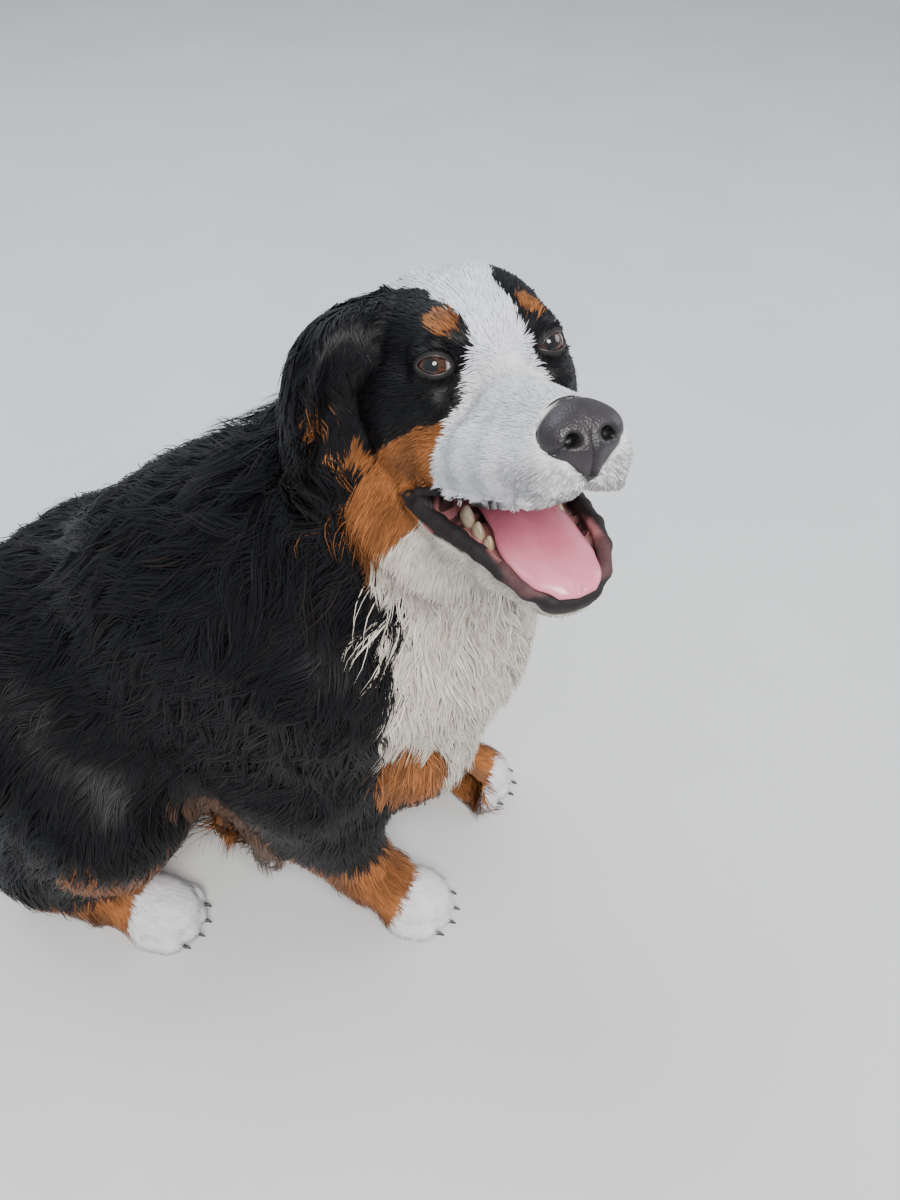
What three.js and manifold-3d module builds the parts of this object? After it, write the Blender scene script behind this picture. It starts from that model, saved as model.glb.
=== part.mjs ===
// A sitting Bernese mountain dog, life size, as a still museum model, out to the tips of its coat.
// Millimetres. The chest faces +X, the dog's left is +Y, +Z is up, and the dog sits on the floor at z = 0.
// The body is one smooth form made of blended masses. It is meshed finely where the shape is fine, then
// parted by flat cuts into head, muzzle, jaw, neck, trunk, legs, feet and tail.
import * as THREE from "three";
import { mergeVertices } from "three/addons/utils/BufferGeometryUtils.js";
import Module from "manifold-3d";

const wasm = await Module();
wasm.setup();

// Driving dimensions
const GAP = 0.3; // between touching pieces
const COAT_GAP = 0.8; // round the nose and the claws, where the skin ends
const BACK_SLOPE = 38; // degrees, the sitting back above the floor
const HEAD_AT = [31, -67, 734]; // the point midway between the eyes
const HEAD_YAW = -52.3; // degrees, the head is turned to the dog's right
const HEAD_PITCH = 29.6; // degrees, the muzzle points up
const HEAD_ROLL = -0.7;
const EYE_PLACE = [-10, 39, 0]; // of the left eye, in the head's frame
const EYE_RADIUS = 13;
const JAW_OPENING = 26; // degrees
const SIDES = { right: -1, left: 1 };
const JAW_HINGE = [-75, 0, -45]; // in the head's frame
const STANCE = 94; // from the middle line to a forepaw
const FORE_STEP = 12; // the left forepaw is this far ahead of square, and the right one behind
const HIND_STANCE = 188; // from the middle line to a hind paw

// How finely each piece is meshed
const CELL = { head: 18.6, muzzle: 13.7, nose: 8, jaw: 16.2, neck: 42, trunk: 56, tail: 39, leg: 34, hip: 50,
  paw: 18 };

// Fields: each is a function of a point that is negative inside the shape, roughly in millimetres
const mix = (a, b, t) => a + (b - a) * t;
const clamp01 = (t) => Math.min(1, Math.max(0, t));
const along = (a, b, t) => a.map((value, i) => mix(value, b[i], t));

function egg(centre, radii, pitch = 0, yaw = 0) {
  const turn = new THREE.Matrix4()
    .makeRotationFromEuler(new THREE.Euler(0, -THREE.MathUtils.degToRad(pitch),
      THREE.MathUtils.degToRad(yaw), "ZYX"))
    .invert().elements;
  return (x, y, z) => {
    const u = x - centre[0];
    const v = y - centre[1];
    const w = z - centre[2];
    const px = (turn[0] * u + turn[4] * v + turn[8] * w) / radii[0];
    const py = (turn[1] * u + turn[5] * v + turn[9] * w) / radii[1];
    const pz = (turn[2] * u + turn[6] * v + turn[10] * w) / radii[2];
    const size = Math.hypot(px, py, pz);
    const slope = Math.hypot(px / radii[0], py / radii[1], pz / radii[2]);
    return slope < 1e-9 ? -Math.min(...radii) : (size * (size - 1)) / slope;
  };
}

const ball = (centre, radius) => egg(centre, [radius, radius, radius]);

function limb(from, to, startRadius, endRadius) {
  const span = to.map((value, i) => value - from[i]);
  const length2 = span[0] ** 2 + span[1] ** 2 + span[2] ** 2;
  return (x, y, z) => {
    const u = x - from[0];
    const v = y - from[1];
    const w = z - from[2];
    const t = clamp01((u * span[0] + v * span[1] + w * span[2]) / length2);
    const reach = Math.hypot(u - t * span[0], v - t * span[1], w - t * span[2]);
    return reach - mix(startRadius, endRadius, t);
  };
}

// A chain of limbs through joints given as [point, radius]
const chain = (joints) =>
  joints.slice(1).map(([point, radius], i) => limb(joints[i][0], point, joints[i][1], radius));

function smoothUnion(fields, softness) {
  return (x, y, z) => {
    let found = fields[0](x, y, z);
    for (let i = 1; i < fields.length; i += 1) {
      const next = fields[i](x, y, z);
      const near = Math.max(softness - Math.abs(found - next), 0) / softness;
      found = Math.min(found, next) - (near * near * softness) / 4;
    }
    return found;
  };
}

function carved(field, tool, softness) {
  return (x, y, z) => {
    const a = field(x, y, z);
    const b = -tool(x, y, z);
    const near = Math.max(softness - Math.abs(a - b), 0) / softness;
    return Math.max(a, b) + (near * near * softness) / 4;
  };
}

const bothSides = (field) => (x, y, z) => field(x, Math.abs(y), z);
const grown = (field, by) => (x, y, z) => field(x, y, z) - by;

function inFrame(matrix, field) {
  const m = matrix.clone().invert().elements;
  return (x, y, z) =>
    field(
      m[0] * x + m[4] * y + m[8] * z + m[12],
      m[1] * x + m[5] * y + m[9] * z + m[13],
      m[2] * x + m[6] * y + m[10] * z + m[14],
    );
}

// Surface nets: one vertex in each cell that the surface crosses, then moved onto the surface
function meshed(field, low, high, cell) {
  const count = low.map((value, i) => Math.ceil((high[i] - value) / cell) + 3);
  const start = low.map((value) => value - cell);
  const place = (i, axis) => start[axis] + i * cell;
  const index = (i, j, k) => i + count[0] * (j + count[1] * k);
  const values = new Float64Array(count[0] * count[1] * count[2]);
  for (let k = 0; k < count[2]; k += 1)
    for (let j = 0; j < count[1]; j += 1)
      for (let i = 0; i < count[0]; i += 1) {
        const rim = [i, j, k].some((n, axis) => n === 0 || n === count[axis] - 1);
        values[index(i, j, k)] = rim ? cell : field(place(i, 0), place(j, 1), place(k, 2));
      }

  untangle(values, count, index);

  const corners = [0, 1, 2, 3, 4, 5, 6, 7].map((c) => [c & 1, (c >> 1) & 1, (c >> 2) & 1]);
  const edges = corners.flatMap((a, n) =>
    [1, 2, 4].filter((bit) => !(n & bit)).map((bit) => [n, n | bit]));
  const positions = [];
  const vertexOf = new Map();
  for (let k = 0; k < count[2] - 1; k += 1)
    for (let j = 0; j < count[1] - 1; j += 1)
      for (let i = 0; i < count[0] - 1; i += 1) {
        const found = corners.map(([a, b, c]) => values[index(i + a, j + b, k + c)]);
        const crossed = edges.filter(([a, b]) => found[a] < 0 !== found[b] < 0);
        if (!crossed.length) continue;
        const mean = [0, 0, 0];
        for (const [a, b] of crossed) {
          const t = found[a] / (found[a] - found[b]);
          along(corners[a], corners[b], t).forEach((value, axis) => {
            mean[axis] += value / crossed.length;
          });
        }
        vertexOf.set(index(i, j, k), positions.length / 3);
        positions.push(...mean.map((value, axis) => place([i, j, k][axis] + value, axis)));
      }
  settle(field, positions, cell);

  const triangles = [];
  const steps = [1, count[0], count[0] * count[1]];
  for (let k = 0; k < count[2] - 1; k += 1)
    for (let j = 0; j < count[1] - 1; j += 1)
      for (let i = 0; i < count[0] - 1; i += 1) {
        const here = index(i, j, k);
        for (let axis = 0; axis < 3; axis += 1) {
          // An edge on the rim has no cells on its far side
          if ([i, j, k].some((n, other) => other !== axis && n === 0)) continue;
          const inside = values[here] < 0;
          if (inside === values[here + steps[axis]] < 0) continue;
          const a = steps[(axis + 1) % 3];
          const b = steps[(axis + 2) % 3];
          const ring = [here - a - b, here - b, here, here - a].map((n) => vertexOf.get(n));
          if (!inside) ring.reverse();
          triangles.push(...splitQuad(ring, positions));
        }
      }
  return new THREE.BufferGeometry()
    .setAttribute("position", new THREE.Float32BufferAttribute(positions, 3))
    .setIndex(triangles);
}

// Where two solid corners of a square or a cube meet only across its diagonal, the surface would pinch.
// Filling one of the empty corners between them keeps it a plain closed surface.
function untangle(values, count, index) {
  const squares = [[[1, 0, 0], [0, 1, 0]], [[0, 1, 0], [0, 0, 1]], [[0, 0, 1], [1, 0, 0]]];
  const diagonals = [[[0, 0, 0], [1, 1, 1]], [[1, 0, 0], [0, 1, 1]], [[0, 1, 0], [1, 0, 1]],
    [[0, 0, 1], [1, 1, 0]]];
  const cube = diagonals.flat();
  let changed = true;
  while (changed) {
    changed = false;
    for (let k = 1; k < count[2] - 2; k += 1)
      for (let j = 1; j < count[1] - 2; j += 1)
        for (let i = 1; i < count[0] - 2; i += 1) {
          const at = ([a, b, c]) => index(i + a, j + b, k + c);
          const fill = (candidates) => {
            const nearest = candidates.reduce((best, n) => (values[n] < values[best] ? n : best));
            values[nearest] = -1e-3;
            changed = true;
          };
          for (const [p, q] of squares) {
            const both = p.map((value, axis) => value + q[axis]);
            const [a, b, c, d] = [[0, 0, 0], p, q, both].map(at);
            const inside = [a, b, c, d].map((n) => values[n] < 0);
            if (inside[0] === inside[3] && inside[1] === inside[2] && inside[0] !== inside[1])
              fill(inside[0] ? [b, c] : [a, d]);
          }
          const solid = cube.filter((corner) => values[at(corner)] < 0);
          for (const pair of diagonals) {
            const [a, b] = pair.map((corner) => values[at(corner)] < 0);
            if (a && b && solid.length === 2)
              fill(cube.filter((corner) => !pair.includes(corner)).map(at));
            if (!a && !b && solid.length === 6) fill(pair.map(at));
          }
        }
  }
}

// Moves each vertex towards the surface, but leaves those where the sampled box cuts through the shape
function settle(field, positions, cell) {
  const reach = cell * 0.35;
  const step = 0.5;
  for (let n = 0; n < positions.length; n += 3)
    for (let turn = 0; turn < 3; turn += 1) {
      const [x, y, z] = positions.slice(n, n + 3);
      const value = field(x, y, z);
      if (Math.abs(value) > cell) break;
      const slope = [
        field(x + step, y, z) - field(x - step, y, z),
        field(x, y + step, z) - field(x, y - step, z),
        field(x, y, z + step) - field(x, y, z - step),
      ].map((difference) => difference / (2 * step));
      const size2 = slope.reduce((sum, s) => sum + s * s, 1e-6);
      slope.forEach((s, axis) => {
        const move = (-value * s) / size2;
        positions[n + axis] += Math.max(-reach, Math.min(reach, move));
      });
    }
}

function splitQuad([a, b, c, d], positions) {
  const gap2 = (m, n) =>
    [0, 1, 2].reduce((sum, i) => sum + (positions[3 * m + i] - positions[3 * n + i]) ** 2, 0);
  return gap2(a, c) < gap2(b, d) ? [a, b, c, a, c, d] : [a, b, d, b, c, d];
}

// Solids, which manifold-3d joins and cuts
function solidOf(geometry, matrix = new THREE.Matrix4()) {
  const plain = geometry.index ? geometry.toNonIndexed() : geometry.clone();
  const bare = new THREE.BufferGeometry()
    .setAttribute("position", plain.getAttribute("position"))
    .applyMatrix4(matrix);
  const merged = mergeVertices(bare, 1e-3);
  return new wasm.Manifold(new wasm.Mesh({
    numProp: 3,
    vertProperties: merged.attributes.position.array,
    triVerts: new Uint32Array(merged.index.array),
  }));
}

function geometryOf(solid) {
  const mesh = solid.getMesh();
  const geometry = new THREE.BufferGeometry()
    .setAttribute("position", new THREE.BufferAttribute(mesh.vertProperties, 3))
    .setIndex(new THREE.BufferAttribute(mesh.triVerts, 1));
  const facets = geometry.toNonIndexed();
  facets.computeVertexNormals();
  return facets;
}

const biggest = (solid) =>
  solid.decompose().reduce((best, next) => (next.volume() > best.volume() ? next : best));

// A large block whose top face lies at a point, square to a direction, moved on by shift
const BLOCK = 3000;
function behind(point, direction, shift = 0) {
  const normal = new THREE.Vector3(...direction).normalize();
  const turn = new THREE.Quaternion().setFromUnitVectors(new THREE.Vector3(0, 0, 1), normal);
  const centre = new THREE.Vector3(...point).addScaledVector(normal, shift - BLOCK / 2);
  const matrix = new THREE.Matrix4().compose(centre, turn, new THREE.Vector3(1, 1, 1));
  return solidOf(new THREE.BoxGeometry(BLOCK, BLOCK, BLOCK), matrix);
}

function block(low, high, growth = 0) {
  const size = low.map((value, i) => high[i] - value + 2 * growth);
  const centre = along(low, high, 0.5);
  return solidOf(new THREE.BoxGeometry(...size), new THREE.Matrix4().makeTranslation(...centre));
}

// The head, in a frame whose origin is midway between the eyes, with x to the nose and y to the left
const headFrame = new THREE.Matrix4()
  .makeRotationFromEuler(new THREE.Euler(
    THREE.MathUtils.degToRad(HEAD_ROLL),
    -THREE.MathUtils.degToRad(HEAD_PITCH),
    THREE.MathUtils.degToRad(HEAD_YAW),
    "ZYX",
  ))
  .setPosition(...HEAD_AT);
const jawFrame = headFrame.clone()
  .multiply(new THREE.Matrix4().makeTranslation(...JAW_HINGE))
  .multiply(new THREE.Matrix4().makeRotationY(THREE.MathUtils.degToRad(JAW_OPENING)))
  .multiply(new THREE.Matrix4().makeTranslation(...JAW_HINGE.map((value) => -value)));
const inHead = (point) => new THREE.Vector3(...point).applyMatrix4(headFrame).toArray();
const headDirection = (way) =>
  new THREE.Vector3(...way).transformDirection(headFrame).toArray();
const inJaw = (point) => new THREE.Vector3(...point).applyMatrix4(jawFrame).toArray();

function skull() {
  const cranium = egg([-70, 0, 8], [73, 65, 56]);
  const forehead = egg([-28, 0, 8], [40, 46, 32]);
  const brow = bothSides(ball([-10, 31, 10], 16));
  const cheek = bothSides(egg([-66, 48, -38], [46, 30, 46]));
  const cheekbone = bothSides(limb([-14, 40, -22], [-80, 60, -16], 18, 22));
  const bridge = limb([0, 0, -36], [98, 0, -42], 28, 19);
  const flew = bothSides(smoothUnion(chain([
    [[-20, 36, -58], 24],
    [[20, 24, -60], 26],
    [[58, 19, -61], 25],
    [[96, 13, -60], 22],
  ]), 6));
  const throat = egg([-75, 0, -80], [54, 54, 46]);
  const outside = smoothUnion([cranium, forehead, brow, cheek, cheekbone, throat, bridge, flew], 16);
  const socket = bothSides(egg([6, 46, 0], [14, 17, 11]));
  return carved(outside, socket, 6);
}

// The lower jaw, drawn shut, which swings open with its own frame
function jaw() {
  const side = bothSides(smoothUnion(chain([
    [[-48, 43, -80], 24],
    [[0, 36, -89], 18],
    [[45, 29, -87], 13],
    [[88, 10, -82], 10],
  ]), 6));
  const chin = egg([38, 0, -90], [64, 30, 12]);
  return smoothUnion([side, chin], 14);
}

// The room between the jaws, which is the same all the way across, from the corners of the mouth forwards
const GAPE = smoothUnion(chain([
  [[-56, 0, -88], 3],
  [[-29, 0, -97], 11],
  [[15, 0, -104], 17],
  [[62, 0, -111], 26],
  [[130, 0, -122], 37],
]), 8);
const mouth = inFrame(headFrame, (x, y, z) => Math.max(GAPE(x, 0, z), Math.abs(y) - 90));

const headField = smoothUnion([inFrame(headFrame, skull()), inFrame(jawFrame, jaw())], 9);

// The neck and trunk
function trunkMasses() {
  return [
    egg([-240, 0, 345], [265, 160, 190], BACK_SLOPE),
    ball([-185, 0, 430], 134),
    egg([-70, 0, 400], [138, 130, 150]),
    egg([-68, 0, 250], [95, 105, 105]),
    egg([-320, 0, 215], [170, 135, 125], 15),
    egg([-455, 0, 250], [175, 150, 145], BACK_SLOPE),
    egg([-560, 0, 150], [140, 160, 160]),
  ];
}

function neckMasses() {
  return [
    limb([-135, 0, 470], inHead([-95, 0, -20]), 108, 84),
    limb([-45, -5, 490], inHead([-75, 0, -85]), 100, 70),
  ];
}

// A foreleg, with side 1 on the left and -1 on the right
function forelegMasses(side) {
  const step = side * FORE_STEP;
  const at = (x, out, z) => [x + step, side * (STANCE + out), z];
  return [
    ...chain([
      [[-115, side * 98, 400], 82],
      [at(-130, 16, 260), 62],
      [at(-108, 10, 175), 46],
      [at(-82, 4, 92), 36],
      [at(-54, 1, 52), 33],
    ]),
    ...chain([
      [at(-168, 16, 250), 44],
      [at(-168, 20, 170), 34],
      [at(-138, 10, 80), 18],
    ]),
  ];
}

const TOES = [-1.5, -0.5, 0.5, 1.5];
const TOE_RADIUS = 17;
const TOE_SPREAD = 17.5; // between neighbouring toes
const TOE_LENGTH = 28;
const TOE_SWEEP = 5.5; // how far the outer toes lie behind the middle ones
const toeAt = (paw, reach, toe) => [
  paw[0] + reach - TOE_SWEEP * toe * toe,
  paw[1] + toe * TOE_SPREAD,
  TOE_RADIUS + 3,
];
const toes = (paw, reach) =>
  TOES.map((toe) => limb(toeAt(paw, reach - TOE_LENGTH, toe), toeAt(paw, reach, toe),
    TOE_RADIUS + 4, TOE_RADIUS));

const FORE_PAW = (side) => [-26 + side * FORE_STEP, side * STANCE, 33];
const HIND_PAW = (side) => [-314, side * HIND_STANCE, 33];
const FORE_REACH = 33; // from the middle of a paw to the middle of its foremost toes
const HIND_REACH = 38;
const pawMass = (paw, radii, reach) => smoothUnion([egg(paw, radii), ...toes(paw, reach)], 9);

function hindlegMasses(side) {
  const at = (x, y, z) => [x, side * y, z];
  return [
    egg(at(-425, 128, 195), [150, 92, 140], 20, -side * 8),
    ...chain([
      [at(-470, 110, 250), 110],
      [at(-345, 165, 190), 82],
      [at(-430, 185, 100), 60],
      [at(-490, 184, 46), 40],
      [at(-400, 186, 38), 33],
      [at(-345, HIND_STANCE, 36), 31],
    ]),
  ];
}

const TAIL = [
  [[-600, 0, 120], 80],
  [[-690, 20, 62], 66],
  [[-770, 62, 52], 58],
  [[-840, 125, 47], 52],
  [[-885, 200, 42], 43],
  [[-898, 252, 36], 33],
];

const bodyField = smoothUnion([
  smoothUnion([
    ...trunkMasses(),
    ...neckMasses(),
    ...[-1, 1].flatMap(forelegMasses),
    ...[-1, 1].flatMap(hindlegMasses),
    ...chain(TAIL),
  ], 34),
  ...[-1, 1].map((side) => pawMass(FORE_PAW(side), [49, 40, 35], FORE_REACH)),
  ...[-1, 1].map((side) => pawMass(HIND_PAW(side), [54, 41, 35], HIND_REACH)),
], 14);
const wholeField = carved(smoothUnion([bodyField, headField], 16), mouth, 9);

// The cuts that part the body
const floor = behind([0, 0, 0], [0, 0, 1]);
const neckCut = [inHead([-112, 0, 0]), headDirection([1, 0, 0.15])];
const muzzleCut = [inHead([14, 0, 0]), headDirection([1, 0, 0.06])];
const jawCut = [inHead([-58, 0, -88]), headDirection([-0.2, 0, -1])];
const jawBack = [inHead([-66, 0, -88]), headDirection([1, 0, -0.35])];
const shoulderCut = [[-110, 0, 545], [0.62, -0.12, 0.78]];
const tailCut = [[-665, 0, 100], [-1, 0.2, -0.25]];

const ordered = (a, b) => [
  a.map((value, i) => Math.min(value, b[i])),
  a.map((value, i) => Math.max(value, b[i])),
];
const FORE_BLOCK = (side, growth = 0) =>
  block(...ordered([-235, side * 66, -20], [90, side * 320, 300]), growth);
const HIND_BLOCK = (side, growth = 0) =>
  block(...ordered([-720, side * 112, -20], [-238, side * 340, 330]), growth);
const FOOT_BLOCK = (side, growth = 0) =>
  block(...ordered([-388, side * 130, -30], [-200, side * 300, 88]), growth);

const keep = (solid, [point, direction], side) =>
  side > 0
    ? solid.subtract(behind(point, direction, GAP / 2))
    : solid.intersect(behind(point, direction, -GAP / 2));

const aboveFloor = (solid) => solid.subtract(floor);

function boxAround(points, margin) {
  const box = new THREE.Box3();
  for (const point of points) box.expandByPoint(new THREE.Vector3(...point));
  box.expandByScalar(margin);
  return [box.min.toArray(), box.max.toArray()];
}

// Eyes, nose, tongue, ears, teeth and claws
const eyeCentre = (side) => inHead([EYE_PLACE[0], side * EYE_PLACE[1], EYE_PLACE[2]]);
const sphere = (centre, radius, around = 12) =>
  solidOf(new THREE.SphereGeometry(radius, around, around / 2 + 2),
    new THREE.Matrix4().makeTranslation(...centre));

function noseField() {
  const pad = egg([106, 0, -46], [17, 24, 22]);
  const wings = bothSides(ball([108, 13, -45], 12.5));
  const nostrils = bothSides(egg([120, 10, -44], [9, 4.5, 5.5]));
  return inFrame(headFrame, carved(smoothUnion([pad, wings], 8), nostrils, 3));
}

// A long piece swept through stations, each of [centre, half width, half thickness], with closed ends.
// Its width lies along across, and a groove may run along the middle of its upper side.
function swept(stations, across, around, groove = 0, growth = 0) {
  const centres = stations.map(([centre]) => new THREE.Vector3(...centre));
  const last = centres.length - 1;
  const points = [];
  const frames = centres.map((centre, i) => {
    const path = centres[Math.min(i + 1, last)].clone().sub(centres[Math.max(i - 1, 0)]).normalize();
    const side = new THREE.Vector3(...across).addScaledVector(path, -path.dot(new THREE.Vector3(...across)))
      .normalize();
    return { centre, path, side, up: path.clone().cross(side) };
  });
  frames.forEach(({ centre, side, up }, i) => {
    const [, width, thickness] = stations[i];
    for (let n = 0; n < around; n += 1) {
      const angle = (2 * Math.PI * n) / around;
      const out = (width + growth) * Math.cos(angle);
      const dip = Math.sin(angle) > 0 ? groove * Math.exp(-((out / (0.4 * width)) ** 2)) : 0;
      const lift = (thickness + growth) * Math.sin(angle) - dip;
      points.push(...centre.clone().addScaledVector(side, out).addScaledVector(up, lift).toArray());
    }
  });
  const ends = [0, last].map((i) =>
    frames[i].centre.clone().addScaledVector(frames[i].path, (i ? 1 : -1) * (stations[i][2] / 2 + growth)));
  ends.forEach((end) => points.push(...end.toArray()));
  const triangles = [];
  const first = points.length / 3 - 2;
  for (let n = 0; n < around; n += 1) {
    const next = (n + 1) % around;
    for (let i = 0; i < last; i += 1) {
      const [a, b, c, d] = [i * around + n, i * around + next, (i + 1) * around + next,
        (i + 1) * around + n];
      triangles.push(a, b, c, a, c, d);
    }
    triangles.push(first, next, n, first + 1, last * around + n, last * around + next);
  }
  return new THREE.BufferGeometry()
    .setAttribute("position", new THREE.Float32BufferAttribute(points, 3))
    .setIndex(triangles);
}

const TONGUE = [
  [[-42, 0, -79], 14, 6],
  [[-20, 1, -76], 20, 8],
  [[5, 3, -73], 24, 8.5],
  [[30, 3, -70], 27, 8],
  [[55, -1, -68], 29, 7.5],
  [[78, -2, -66], 27.5, 7],
  [[94, 0, -67], 22, 6],
  [[104, 0, -71], 13, 4.5],
];
const tongueOf = (growth) => solidOf(swept(TONGUE, [0, 1, 0], 14, 3, growth), jawFrame);

// An ear hangs from its root over the cheek and the ruff of the neck
const EAR = [
  [[-78, 48, 36], 24, 19],
  [[-84, 76, 35], 34, 19],
  [[-92, 100, 20], 42, 17],
  [[-100, 113, -6], 44, 15],
  [[-110, 121, -36], 39, 13],
  [[-121, 124, -66], 29, 12],
  [[-130, 122, -90], 16, 9],
];
// The right ear stands out over the ruff, and the left one lies closer and further back
const EAR_SET = {
  left: { spread: 0.7, shift: [-18, 0, -14] },
  right: { spread: 1, shift: [0, 0, 0] },
};

function earOf(side, growth) {
  const { spread, shift } = EAR_SET[side];
  const stations = EAR.map(([[x, y, z], width, thickness]) =>
    [[x + shift[0], SIDES[side] * y * spread + shift[1], z + shift[2]], width, thickness]);
  return solidOf(swept(stations, [-SIDES[side], 0, 0], 12, 0, growth), headFrame);
}

// A tooth is a slim crown that stands in the jaw
function tooth(x, y, size) {
  const crown = new THREE.ConeGeometry(size * 0.45, size, 6);
  const matrix = jawFrame.clone()
    .multiply(new THREE.Matrix4().makeTranslation(x, y, size * 0.2 - 82))
    .multiply(new THREE.Matrix4().makeRotationX(Math.PI / 2));
  return solidOf(crown, matrix);
}
const CHEEK_TEETH = [[2, 30.5, 16], [19, 28.5, 13], [34, 26, 11]]; // x, y and size of each
const FRONT_TEETH = [[76, 17.5, 22], [87, 6, 9]];

const CLAW_LENGTH = 17;
const CLAW_SLOPE = 22; // degrees down from level
const CLAW_HEIGHT = 15; // of its root above the floor

function claw(paw, reach, toe) {
  const root = toeAt(paw, reach, toe);
  root[2] = CLAW_HEIGHT;
  while (bodyField(...root) < 0) root[0] += 0.5;
  const matrix = new THREE.Matrix4()
    .makeTranslation(...root)
    .multiply(new THREE.Matrix4().makeRotationY(THREE.MathUtils.degToRad(90 + CLAW_SLOPE)));
  return solidOf(new THREE.ConeGeometry(4, CLAW_LENGTH, 7).rotateX(Math.PI / 2), matrix);
}

// The model
const COLOURS = { black: 0x17161a, white: 0xe8e2d8, tan: 0x9a4f22, nose: 0x2a2628, tongue: 0xd8808c,
  eye: 0x3a1c10, claw: 0x2c2522 };
const ROUGHNESS = { black: 0.7, white: 0.8, tan: 0.75, nose: 0.4, tongue: 0.35, eye: 0.1, claw: 0.4 };
const dog = new THREE.Group();
const solids = new Map();

function add(name, solid, colour) {
  const material = new THREE.MeshStandardMaterial({
    color: COLOURS[colour], roughness: ROUGHNESS[colour], metalness: 0 });
  const whole = biggest(solid);
  const mesh = new THREE.Mesh(geometryOf(whole), material);
  mesh.name = name;
  solids.set(name, whole);
  dog.add(mesh);
}

const headBox = boxAround([inHead([-70, 0, -20])], 165);
const eyes = Object.values(SIDES).map((side) => sphere(eyeCentre(side), EYE_RADIUS + GAP));
const noseBox = boxAround([inHead([108, 0, -42])], 34);
const jawBox = boxAround([inJaw([20, 0, -80])], 108);

// Head, muzzle and jaw
const ears = Object.keys(SIDES).map((side) => [side, earOf(side, 0), earOf(side, GAP)]);
const withoutEars = (solid) => ears.reduce((rest, [, , room]) => rest.subtract(room), solid);
const jawRegion = (solid, growth) => {
  const above = behind(jawCut[0], jawCut[1], growth);
  const rear = behind(jawBack[0], jawBack[1], growth);
  return solid.subtract(above).subtract(rear);
};
const jawSpace = jawRegion(block([-1500, -1500, -1500], [1500, 1500, 1500]), -GAP / 2);
const tongue = tongueOf(0);
const headWhole = keep(solidOf(meshed(wholeField, ...headBox, CELL.head)), neckCut, 1).subtract(jawSpace);
const upper = eyes.reduce((solid, eye) => solid.subtract(eye), headWhole.subtract(tongueOf(GAP)));
add("head", withoutEars(keep(upper, muzzleCut, -1)), "black");

const muzzleBox = boxAround([inHead([60, 0, -45])], 82);
const nose = solidOf(meshed(noseField(), ...noseBox, CELL.nose));
const noseRoom = solidOf(meshed(grown(noseField(), COAT_GAP), ...noseBox, CELL.nose));
const muzzle = keep(solidOf(meshed(wholeField, ...muzzleBox, CELL.muzzle)), muzzleCut, 1)
  .subtract(jawSpace).subtract(noseRoom).subtract(tongueOf(GAP));
add("muzzle", muzzle, "white");
add("nose", nose, "nose");

const teeth = [...CHEEK_TEETH, ...FRONT_TEETH].flatMap(([x, y, size]) =>
  [tooth(x, y, size), tooth(x, -y, size)]);
const jawBare = jawRegion(keep(solidOf(meshed(wholeField, ...jawBox, CELL.jaw)), neckCut, 1), GAP / 2);
const jawToothed = teeth.reduce((solid, next) => solid.add(next), jawBare).subtract(tongueOf(GAP));
add("lower_jaw", jawToothed, "white");
add("tongue", tongue, "tongue");

for (const [side, sign] of Object.entries(SIDES)) {
  add("eye_" + side, sphere(eyeCentre(sign), EYE_RADIUS), "eye");
}
for (const [side, ear] of ears) add("ear_" + side, ear, "black");

// Neck, trunk and tail
const bodyBox = [[-960, -330, -40], [120, 330, 640]];
const neckBox = [[-330, -230, 360], [170, 230, 800]];
const neck = keep(keep(solidOf(meshed(wholeField, ...neckBox, CELL.neck)), neckCut, -1), shoulderCut, 1);
add("neck", withoutEars(neck), "black");

const trunkWhole = aboveFloor(solidOf(meshed(bodyField, ...bodyBox, CELL.trunk)));
const hindBlocks = Object.values(SIDES).map((side) => HIND_BLOCK(side, GAP / 2));
const foreBlocks = Object.values(SIDES).map((side) => FORE_BLOCK(side, GAP / 2));
const trunk = [...foreBlocks, ...hindBlocks].reduce((solid, next) => solid.subtract(next),
  keep(keep(trunkWhole, shoulderCut, -1), tailCut, -1));
add("trunk", withoutEars(trunk), "black");

const tailBox = [[-960, -120, -40], [-600, 330, 260]];
const tail = hindBlocks.reduce((solid, next) => solid.subtract(next),
  keep(aboveFloor(solidOf(meshed(bodyField, ...tailBox, CELL.tail))), tailCut, 1));
add("tail", tail, "black");

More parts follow.
